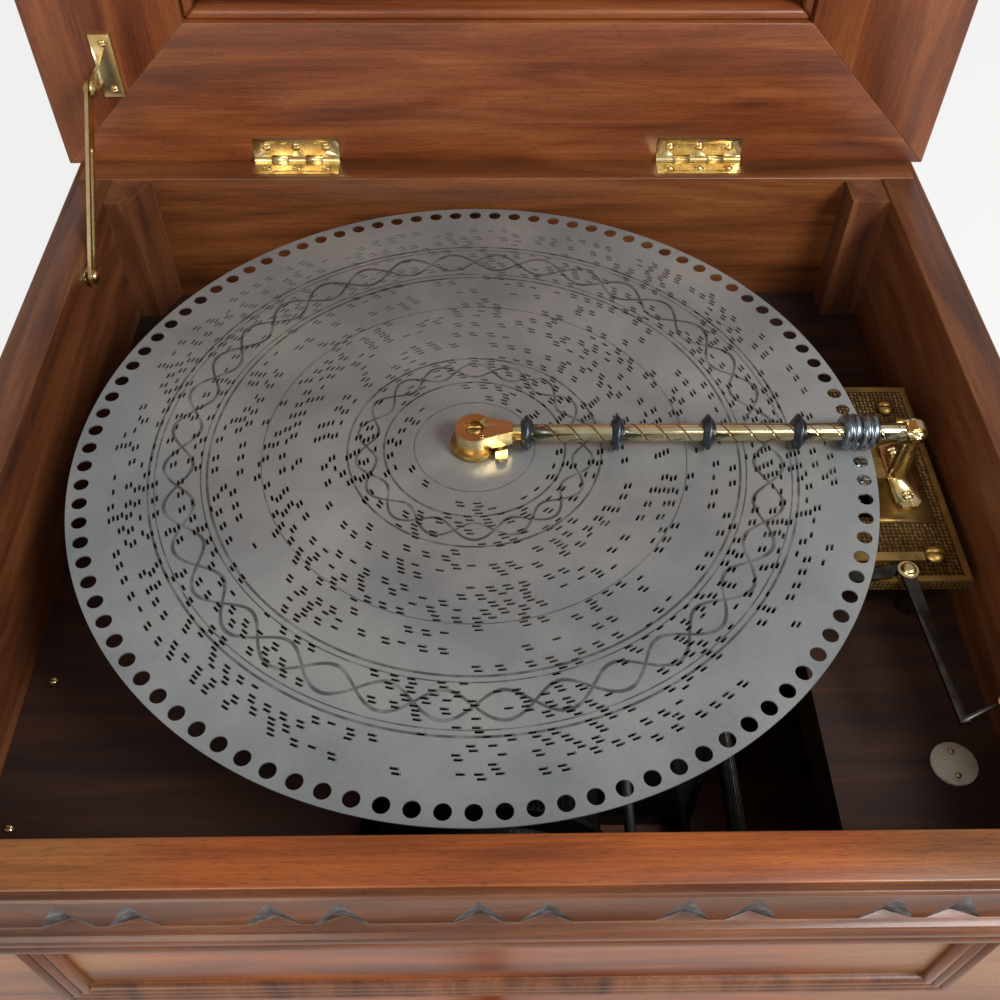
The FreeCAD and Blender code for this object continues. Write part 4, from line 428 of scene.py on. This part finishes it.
def finished(label, materials, edge=0.0, steps=2, pick=None, carved=None):
    """A CAD piece with softened edges and its finish. It stands for the CAD node.

    carved is a finish for slanting cuts, those that face partly along their board.
    """
    if not isinstance(materials, dict):
        materials = {None: materials}
    parts = boards_of(nodes[label], pick or (lambda spot: None))
    mesh = bpy.data.meshes.new(label + "_made")
    joined = bmesh.new()
    looks = list(dict.fromkeys(list(materials.values()) + ([carved] if carved else [])))
    for board, part in parts.items():
        soften(part, edge, steps)
        look = materials.get(board, looks[0])
        for face in part.faces:
            along = abs(face.normal.y if board and "side" in str(board) else face.normal.x)
            face.material_index = looks.index(carved if carved and 0.08 < along < 0.9 else look)
        scrap = bpy.data.meshes.new("scrap")
        part.to_mesh(scrap)
        joined.from_mesh(scrap)
        bpy.data.meshes.remove(scrap)
        part.free()
    joined.to_mesh(mesh)
    joined.free()
    for look in looks:
        mesh.materials.append(look)
    piece = settle(mesh, label + "_made", nodes[label]["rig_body"])
    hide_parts(label)
    return piece


print("ready to soften pieces")

# %% [markdown]
# The case: four walls, their moulded front and sides, the plinth, and the deck inside.
# The front board's grain runs left to right and the sides' front to back. The mouldings
# are three mitred lengths each, so they are split where the mitres lie.

# %% Case
out_x, out_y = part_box("front_wall")[1].x, -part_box("front_wall")[0].y


def waxed_notches():
    """Grey dust in the carved notches, with a painted grey sheen for the light the lamps don't
    give them.
    """
    material, tree, shader = finish("grey dust and painted sheen in carved mahogany")
    dust = clouds(tree, here(tree), 5, 5.0)
    tone = ramp(tree, dust, [(0.35, "#2F2724"), (0.55, "#4B4A4D"), (0.72, "#6F6E72")])
    feed(tree, shader, {"Base Color": tone, "Roughness": 0.45})
    return material


notch_dust_and_sheen_finish = waxed_notches()


def round_case(spot):
    """front, or a side, by which face of the case the spot is furthest beyond."""
    if abs(spot.x) - out_x > abs(spot.y) - out_y:
        return "side"
    return "front"


def which_length(spot):
    return (round_case(spot), spot.x > 0 if round_case(spot) == "side" else None)


def make_case():
    finished("front_wall", front_x, 0.8)
    finished("back_wall", wall_x, 0.5)
    finished("side_walls", case_y, 0.8)
    finished("bottom_board", case_x, 0.6)
    lengths = {("front", None): case_x, ("side", True): case_y, ("side", False): case_y}
    # The grey in the notches is dust and a painted sheen.
    finished("notched_moulding", lengths, 0.25, 2, which_length, notch_dust_and_sheen_finish)
    finished("plinth", lengths, 0.7, 3, which_length)
    strips = {("front", None): case_z, ("side", True): case_z, ("side", False): case_z}
    finished("panel_frames", strips, 0.0)
    boards = {"back": deck_stain_and_shade, "left": deck_stain_and_shade, "right": deck_stain_and_shade}
    well_back = 75 * MM
    finished("deck_boards", boards, 0.4, 2,
             lambda p: "back" if p.y > well_back else ("left" if p.x < 0 else "right"))
    finished("inner_strips", {True: inner_z, False: deck_stain_and_shade}, 0.0, 2, lambda p: p.z > deck_z)


make_case()
print("case pieces made")

# %% [markdown]
# The lid stands open and shows its inside: four broad mitred boards round a panel, with a
# bead between. The rails' grain runs across and the stiles' runs up, and a fine dark line
# shows at each mitre. The bead is a square strip whose corners are rounded right over.

# %% Lid
lid_low, lid_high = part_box("lid_frame")
lid_mid = (lid_low + lid_high) / 2


def lid_board(spot):
    """Which of the lid's four mitred boards a spot lies in."""
    from_side = lid_high.x - abs(spot.x)
    from_end = (lid_high.z - lid_low.z) / 2 - abs(spot.z - lid_mid.z)
    if from_side < from_end:
        return "stile left" if spot.x < 0 else "stile right"
    return "rail low" if spot.z < lid_mid.z else "rail high"


LID_BOARDS = {"stile left": lid_z, "stile right": lid_z, "rail low": lid_x, "rail high": lid_x}


def make_lid():
    finished("lid_frame", LID_BOARDS, 0.5, 2, lid_board)
    finished("lid_bead", LID_BOARDS, 2.4, 5, lid_board)
    finished("lid_panel", lid_x, 0.3)
    finished("lid_top", lid_x, 2.5, 4)
    finished("lid_sides", {key: (lid_z if "stile" in key[0] else lid_x) for key in
                           [(b, lip) for b in LID_BOARDS for lip in (True, False)]}, 1.2, 3,
             lambda p: (lid_board(p), in_lip(p)))


def in_lip(spot):
    """The moulded lip is the outer 5 mm of the lid's sides, near its face."""
    from_side = lid_high.x - abs(spot.x)
    from_end = (lid_high.z - lid_low.z) / 2 - abs(spot.z - lid_mid.z)
    return min(from_side, from_end) < 5 * MM


make_lid()
print("lid pieces made")

# %% [markdown]
# Metals have no colour of their own under the light: they tint what they mirror. So each
# is metallic, and its look comes from how it was worked. Lacquered brass is bright with
# darker tarnish in patches, turned steel is grey with fine marks, and blued steel is dark.
# Fine scratches are drawn about a third of a millimetre wide, so that they still show.

# %% Metals
SCRATCH_DEEP = 0.03


def metal(name, bright, dull, rough, spread=0.12, patch=9.0, scratch=0.35, bump=0.03):
    """A worked metal from its bright and tarnished colours and its roughness."""
    material, tree, shader = finish(name)
    place = here(tree)
    tarnish = clouds(tree, place, patch, 5.0)
    marks = clouds(tree, place, scratch, 2.0)
    both = calc(tree, "ADD", tarnish, marks)
    feed(tree, shader, {"Base Color": ramp(tree, tarnish, [(0.35, bright), (0.72, dull)]),
                        "Metallic": 1.0,
                        "Roughness": ranged(tree, both, rough, rough + spread, 0.7, 1.3),
                        "Normal": raised(tree, marks, bump, SCRATCH_DEEP)})
    return material


brass = metal("lacquered brass", "#F2E0AC", "#CDA964", 0.22)
old_brass = metal("tarnished brass", "#BC9A5A", "#7E6032", 0.34)
steel = metal("ground steel", "#B9B9B6", "#8C8B88", 0.28)
blued = metal("blued steel", "#6A727B", "#3C4249", 0.24)
# The wide rollers take a lighter copy of the blued steel, a painted highlight.
blued_with_painted_highlight = metal("blued steel lightened as painted highlight", "#98A1A9", "#5A626A", 0.22)
dark_steel = metal("dark burnished steel", "#57534D", "#332F2B", 0.34)
iron = metal("blacked cast iron", "#3A3936", "#262421", 0.48, 0.2, 6.0, 1.0, 0.4)
copper = metal("polished gilding metal", "#E6B58A", "#A9714A", 0.16)
print("eight metals")

# %% [markdown]
# The tune disc is rolled sheet steel, dulled to a soft grey. Its polish marks run round
# it, so light makes two bright streaks across the middle, like those on a pan's bottom.
# The Principled shader does this with anisotropy and a tangent that runs round the disc.
# The maker's print is left off. In its place is a plain ring of looped lines in thin dark
# ink, worn by handling, worked out from the angle and the distance to the middle.

# %% Disc finish
INK = "#33332F"
POLISH_RINGS = 0.7


def loop_line(tree, radius, angle, middle, swing, count, phase, wide):
    """1 on a thin line that swings in and out round the disc, else 0. Sizes in mm."""
    wave = calc(tree, "SINE", calc(tree, "MULTIPLY_ADD", angle, count, phase))
    path = calc(tree, "MULTIPLY_ADD", wave, swing * MM, middle * MM)
    off = calc(tree, "ABSOLUTE", calc(tree, "SUBTRACT", radius, path))
    return ranged(tree, off, 1.0, 0.0, wide * 0.5 * MM, wide * 0.9 * MM)


# Middle radius, swing, waves round the disc, phase and width of each ink line.
RING_LINES = [(131, 0, 0, 0, 0.9), (134, 0, 0, 0, 0.5),
              (145, 7, 18, 0, 1.3), (145, 7, 18, math.pi, 1.3),
              (156, 0, 0, 0, 0.5), (159, 0, 0, 0, 0.9),
              (54, 5, 9, 0, 1.1), (54, 5, 9, math.pi, 1.1),
              (45, 0, 0, 0, 0.8), (63, 0, 0, 0, 0.8),
              (30, 0, 0, 0, 0.4), (105, 0, 0, 0, 0.4)]


def disc_steel():
    material, tree, shader = finish("rolled sheet steel with a worn ink ring")
    place = here(tree)
    centred = add(tree, "ShaderNodeMapping", {"Vector": place, "Location": (-hub.x, -hub.y, 0)})
    across, back = split_axes(tree, centred.outputs[0])[:2]
    flat = add(tree, "ShaderNodeCombineXYZ", {0: across, 1: back})
    length = add(tree, "ShaderNodeVectorMath", {0: flat.outputs[0]}, operation="LENGTH")
    radius = length.outputs["Value"]
    angle = calc(tree, "ARCTAN2", back, across)
    ink = loop_line(tree, radius, angle, *RING_LINES[0])
    for line in RING_LINES[1:]:
        ink = calc(tree, "MAXIMUM", ink, loop_line(tree, radius, angle, *line))
    left = ramp(tree, clouds(tree, place, 9, 6.0), [(0.36, 0.35), (0.56, 0.80)])
    ink = calc(tree, "MULTIPLY", ink, left)
    patches = clouds(tree, place, 55, 6.0)
    tone = ramp(tree, patches, [(0.3, "#7E8283"), (0.5, "#8D9090"), (0.7, "#9A9B98")])
    grit = ramp(tree, clouds(tree, place, 1.3, 3.0), [(0.3, 0.86), (0.7, 1.0)])
    tone = mixed_colour(tree, 0.7, tone, grit, "MULTIPLY")
    around = add(tree, "ShaderNodeTangent", direction_type="RADIAL", axis="Z")
    rings = calc(tree, "MULTIPLY", radius, per_metre(POLISH_RINGS))
    marks = add(tree, "ShaderNodeTexNoise", {"W": rings, "Scale": 1.0, "Detail": 2.0},
                noise_dimensions="1D")
    feed(tree, shader, {"Base Color": mixed_colour(tree, ink, tone, shade(INK)),
                        "Metallic": 0.42, "Roughness": ranged(tree, patches, 0.25, 0.36),
                        "Anisotropic": 0.8, "Tangent": around.outputs[0],
                        "Normal": raised(tree, marks.outputs["Fac"], 0.06, 0.1)})
    return material


sheet_steel = disc_steel()
print("disc finish with", len(RING_LINES), "ink lines")

# %% [markdown]
# The music is some two thousand slots in circular tracks. A punch pushed each slot's
# metal down into a lug under the disc, and the lug plucks a star wheel. The quick way to
# cut so many is to make all the cutters as one mesh and subtract them once with a
# Boolean. The slots are drawn from a fixed seed, in short runs, as tunes have them.

# %% Cut the disc
TRACKS, FIRST_TRACK, TRACK_STEP = 36, 33.0, 4.06
SLOT_LONG, SLOT_WIDE, TWIN = 3.9, 1.25, 2.03
EDGE_HOLES, EDGE_RING, EDGE_BORE = 100, 190.7, 7.3
SPINDLE_BORE = 6.1


def slot_places():
    """(radius, angle) of each slot, in millimetres and radians. Most notes have twin slots."""
    chance = random.Random(1898)
    places = []
    for track in range(TRACKS):
        radius = FIRST_TRACK + TRACK_STEP * track
        rest = chance.choice((14.0, 20.0, 30.0, 55.0))
        angle = chance.random() * 0.6
        end = angle + 2 * math.pi - 0.16
        while angle < end:
            for _ in range(chance.choice((1, 1, 2, 2, 3, 4))):
                if angle < end:
                    places.append((radius, angle))
                    if chance.random() < 0.8:
                        places.append((radius + TWIN, angle + 1.1 / radius))
                angle += (SLOT_LONG + chance.uniform(3.2, 6.0)) / radius
            angle += chance.expovariate(1 / rest) / radius
    return places


def punch_at(radius, angle):
    """A matrix that puts a tool on the disc, its X running round the track."""
    spot = Matrix.Translation(hub + Vector((0, 0, -disc_thick / 2)))
    out = Matrix.Rotation(angle, 4, "Z") @ Matrix.Translation((radius * MM, 0, 0))
    return spot @ out @ Matrix.Rotation(math.pi / 2, 4, "Z")


def cutters(places):
    shape = bmesh.new()
    for radius, angle in places:
        size = Matrix.Diagonal((SLOT_LONG * MM, SLOT_WIDE * MM, disc_thick * 3, 1))
        bmesh.ops.create_cube(shape, size=1, matrix=punch_at(radius, angle) @ size)
    for hole in range(EDGE_HOLES):
        bmesh.ops.create_cone(shape, cap_ends=True, segments=20, radius1=EDGE_BORE / 2 * MM,
                              radius2=EDGE_BORE / 2 * MM, depth=disc_thick * 3,
                              matrix=punch_at(EDGE_RING, 2 * math.pi * hole / EDGE_HOLES))
    bmesh.ops.create_cone(shape, cap_ends=True, segments=24, radius1=SPINDLE_BORE / 2 * MM,
                          radius2=SPINDLE_BORE / 2 * MM, depth=disc_thick * 3,
                          matrix=punch_at(0, 0))
    mesh = bpy.data.meshes.new("cutters")
    shape.to_mesh(mesh)
    shape.free()
    thing = bpy.data.objects.new("cutters", mesh)
    bpy.context.scene.collection.objects.link(thing)
    return thing


def cut_disc(places):
    shape = bmesh.new()
    middle = Matrix.Translation(hub - Vector((0, 0, disc_thick / 2)))
    bmesh.ops.create_cone(shape, cap_ends=True, segments=240, radius1=disc_radius,
                          radius2=disc_radius, depth=disc_thick, matrix=middle)
    mesh = bpy.data.meshes.new("tune_disc_made")
    shape.to_mesh(mesh)
    shape.free()
    blank = bpy.data.objects.new("blank", mesh)
    bpy.context.scene.collection.objects.link(blank)
    tool = cutters(places)
    step = blank.modifiers.new("punch", "BOOLEAN")
    step.object = tool
    step.operation = "DIFFERENCE"
    step.solver = "MANIFOLD"
    bpy.context.view_layer.update()
    ready = blank.evaluated_get(bpy.context.evaluated_depsgraph_get())
    cut = bpy.data.meshes.new_from_object(ready)
    cut.name = "tune_disc_made"
    bpy.data.objects.remove(tool)
    bpy.data.objects.remove(blank)
    cut.materials.clear()
    cut.materials.append(sheet_steel)
    return cut


def make_disc():
    places = slot_places()
    cut = cut_disc(places)
    piece = settle(cut, "tune_disc_made", "disc", 20)
    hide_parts("tune_disc")
    print("disc:", len(places), "slots,", len(cut.polygons), "faces")
    return places


slots = make_disc()

# %% [markdown]
# Each lug is the slot's own metal, bent down at one end. From above only its top edge
# shows, as a bright fleck at the end of each slot. It is a thin tongue, nearly upright.

# %% Lugs under the disc
LUG_ALONG, LUG_DOWN, LUG_LEAN = 1.62, 0.62, 81
LUG_SIZE = (1.6, SLOT_WIDE * 0.86, 0.35)


def make_lugs(places):
    shape = bmesh.new()
    shift = Matrix.Translation((LUG_ALONG * MM, 0, -LUG_DOWN * MM))
    lean = Matrix.Rotation(math.radians(LUG_LEAN), 4, "Y")
    size = Matrix.Diagonal([side * MM for side in LUG_SIZE] + [1])
    for radius, angle in places:
        bmesh.ops.create_cube(shape, size=1, matrix=punch_at(radius, angle) @ shift @ lean @ size)
    mesh = bpy.data.meshes.new("disc_lugs")
    shape.to_mesh(mesh)
    shape.free()
    mesh.materials.append(steel)
    settle(mesh, "disc_lugs", "disc")


make_lugs(slots)
print("lugs made")

# %% [markdown]
# The arm's tube is polished brass with two spiral lines engraved round it. Such a line is
# a sum of two things: how far along the tube a point is, and how far round. Where that sum
# comes to a whole turn there is a groove, drawn dark in the colour and sunk in the bump.

# %% Spiral tube
SPIRAL_LEAD = 21.5
SPIRAL_LINES = 2


def spiral_brass():
    material, tree, shader = finish("polished brass with engraved spirals")
    place = here(tree)
    centred = add(tree, "ShaderNodeMapping", {"Vector": place, "Location": (0, -hub.y, -arm_z)})
    along, back, up = split_axes(tree, centred.outputs[0])
    turned = calc(tree, "MULTIPLY", calc(tree, "ARCTAN2", up, back), -SPIRAL_LINES / (2 * math.pi))
    total = calc(tree, "MULTIPLY_ADD", along, SPIRAL_LINES * per_metre(SPIRAL_LEAD), turned)
    off = calc(tree, "SUBTRACT", calc(tree, "FRACT", total), 0.5)
    groove = ramp(tree, calc(tree, "ABSOLUTE", off), [(0.02, 0.0), (0.055, 1.0)])
    tone = ramp(tree, clouds(tree, place, 12, 4.0), [(0.35, "#F6EAC4"), (0.7, "#DCC48A")])
    feed(tree, shader, {"Base Color": mixed_colour(tree, groove, shade("#8A6B38"), tone),
                        "Metallic": 1.0, "Roughness": 0.16,
                        "Normal": raised(tree, groove, 0.9, 0.35)})
    return material


def make_arm():
    finished("arm_tube", spiral_brass())
    finished("arm_head", brass, 0.25)
    finished("centre_flange", old_brass, 0.2)
    finished("latch_lever", brass)
    finished("head_screws", old_brass)
    for number in range(1, 5):
        finished("roller_%d" % number, blued)
    for number in (1, 2):
        finished("wide_roller_%d" % number, blued_with_painted_highlight)
    finished("arm_post", brass)


make_arm()
print("arm and rollers made")

# %% [markdown]
# The bedplate is an iron casting painted in gold bronze. Its field is cast with rows of
# small pebbles about 2.2 mm apart, and its border and pads are plain. A Voronoi texture
# gives each pebble a round top. The mask keeps them to what lies half a millimetre or more below
# the top, which leaves the border and the pad plain.

# %% Bedplate
PEBBLE = 2.2
FIELD_DROP = 0.5


def gold_casting():
    material, tree, shader = finish("gold bronze on pebbled cast iron")
    place = here(tree)
    cells = add(tree, "ShaderNodeTexVoronoi",
                {"Vector": place, "Scale": per_metre(PEBBLE), "Randomness": 0.25})
    dome = ramp(tree, cells.outputs["Distance"], [(0.0, 1.0), (0.42, 0.35), (0.62, 0.0)])
    field = calc(tree, "LESS_THAN", split_axes(tree, place)[2], bed_high.z - FIELD_DROP * MM)
    pebbles = mixed_colour(tree, 1.0, dome, field, "MULTIPLY")
    grime = clouds(tree, place, 18, 6.0)
    plain = ramp(tree, grime, [(0.3, "#6E5329"), (0.55, "#8A6C36"), (0.75, "#47341A")])
    cast = mixed_colour(tree, pebbles, shade("#4A3519"), shade("#A98950"))
    feed(tree, shader, {"Base Color": mixed_colour(tree, field, plain, cast),
                        "Metallic": 0.75, "Roughness": 0.42,
                        "Normal": raised(tree, pebbles, 0.9, 0.55)})
    return material


finished("bedplate", gold_casting())
print("bedplate made")

# %% [markdown]
# The small brass and steel work: hinges, stay, lever, screws, combs and star wheels, and
# the motor in its well. Each keeps its CAD form, merged and smooth-shaded, in the metal
# that the real piece is made of.

# %% Fittings and works
def bone():
    """Turned ivory or bone: pale, faintly streaked and smooth."""
    material, tree, shader = finish("polished bone")
    size = [per_metre(wide) for wide in (8, 0.8, 8)]
    streak = add(tree, "ShaderNodeMapping", {"Vector": here(tree), "Scale": size})
    noise = add(tree, "ShaderNodeTexNoise",
                {"Vector": streak.outputs[0], "Scale": 1.0, "Detail": 3.0})
    tone = ramp(tree, noise.outputs["Fac"], [(0.3, "#CFC4A6"), (0.7, "#E6DEC9")])
    feed(tree, shader, {"Base Color": tone, "Roughness": 0.32})
    return material


def ebonised():
    """A turned knob stained black and polished."""
    tones = ("#120C09", "#1E1410", "#2C1D15", "#4A3527")
    return mahogany("ebonised and polished wood", "Y", tones, 0.25, 0.4, 0.3)


FITTINGS = {
    brass: ["hinge_lid_leaves", "hinge_case_leaves", "lid_screws", "stay_bracket", "stay_bar",
            "stay_screw_head", "brass_screws"],
    old_brass: ["steel_screws", "detent_bar", "star_wheels", "shaft_bearings", "great_wheel",
                "governor_cock", "fly"],
    steel: ["combs", "star_shaft", "spindle", "sprocket", "drive_shaft", "cross_shaft",
            "winding_arbor", "ratchet_click", "fan_arbor"],
    dark_steel: ["start_lever"],
    blued: ["mainspring"],
    iron: ["comb_blocks", "spring_barrel", "motor_frame", "crank"],
    copper: ["lever_knob"],
    bone(): ["lever_plate"],
    ebonised(): ["crank_knob"],
}
for look, labels in FITTINGS.items():
    for label in labels:
        finished(label, look)
print(sum(len(labels) for labels in FITTINGS.values()), "fittings made")
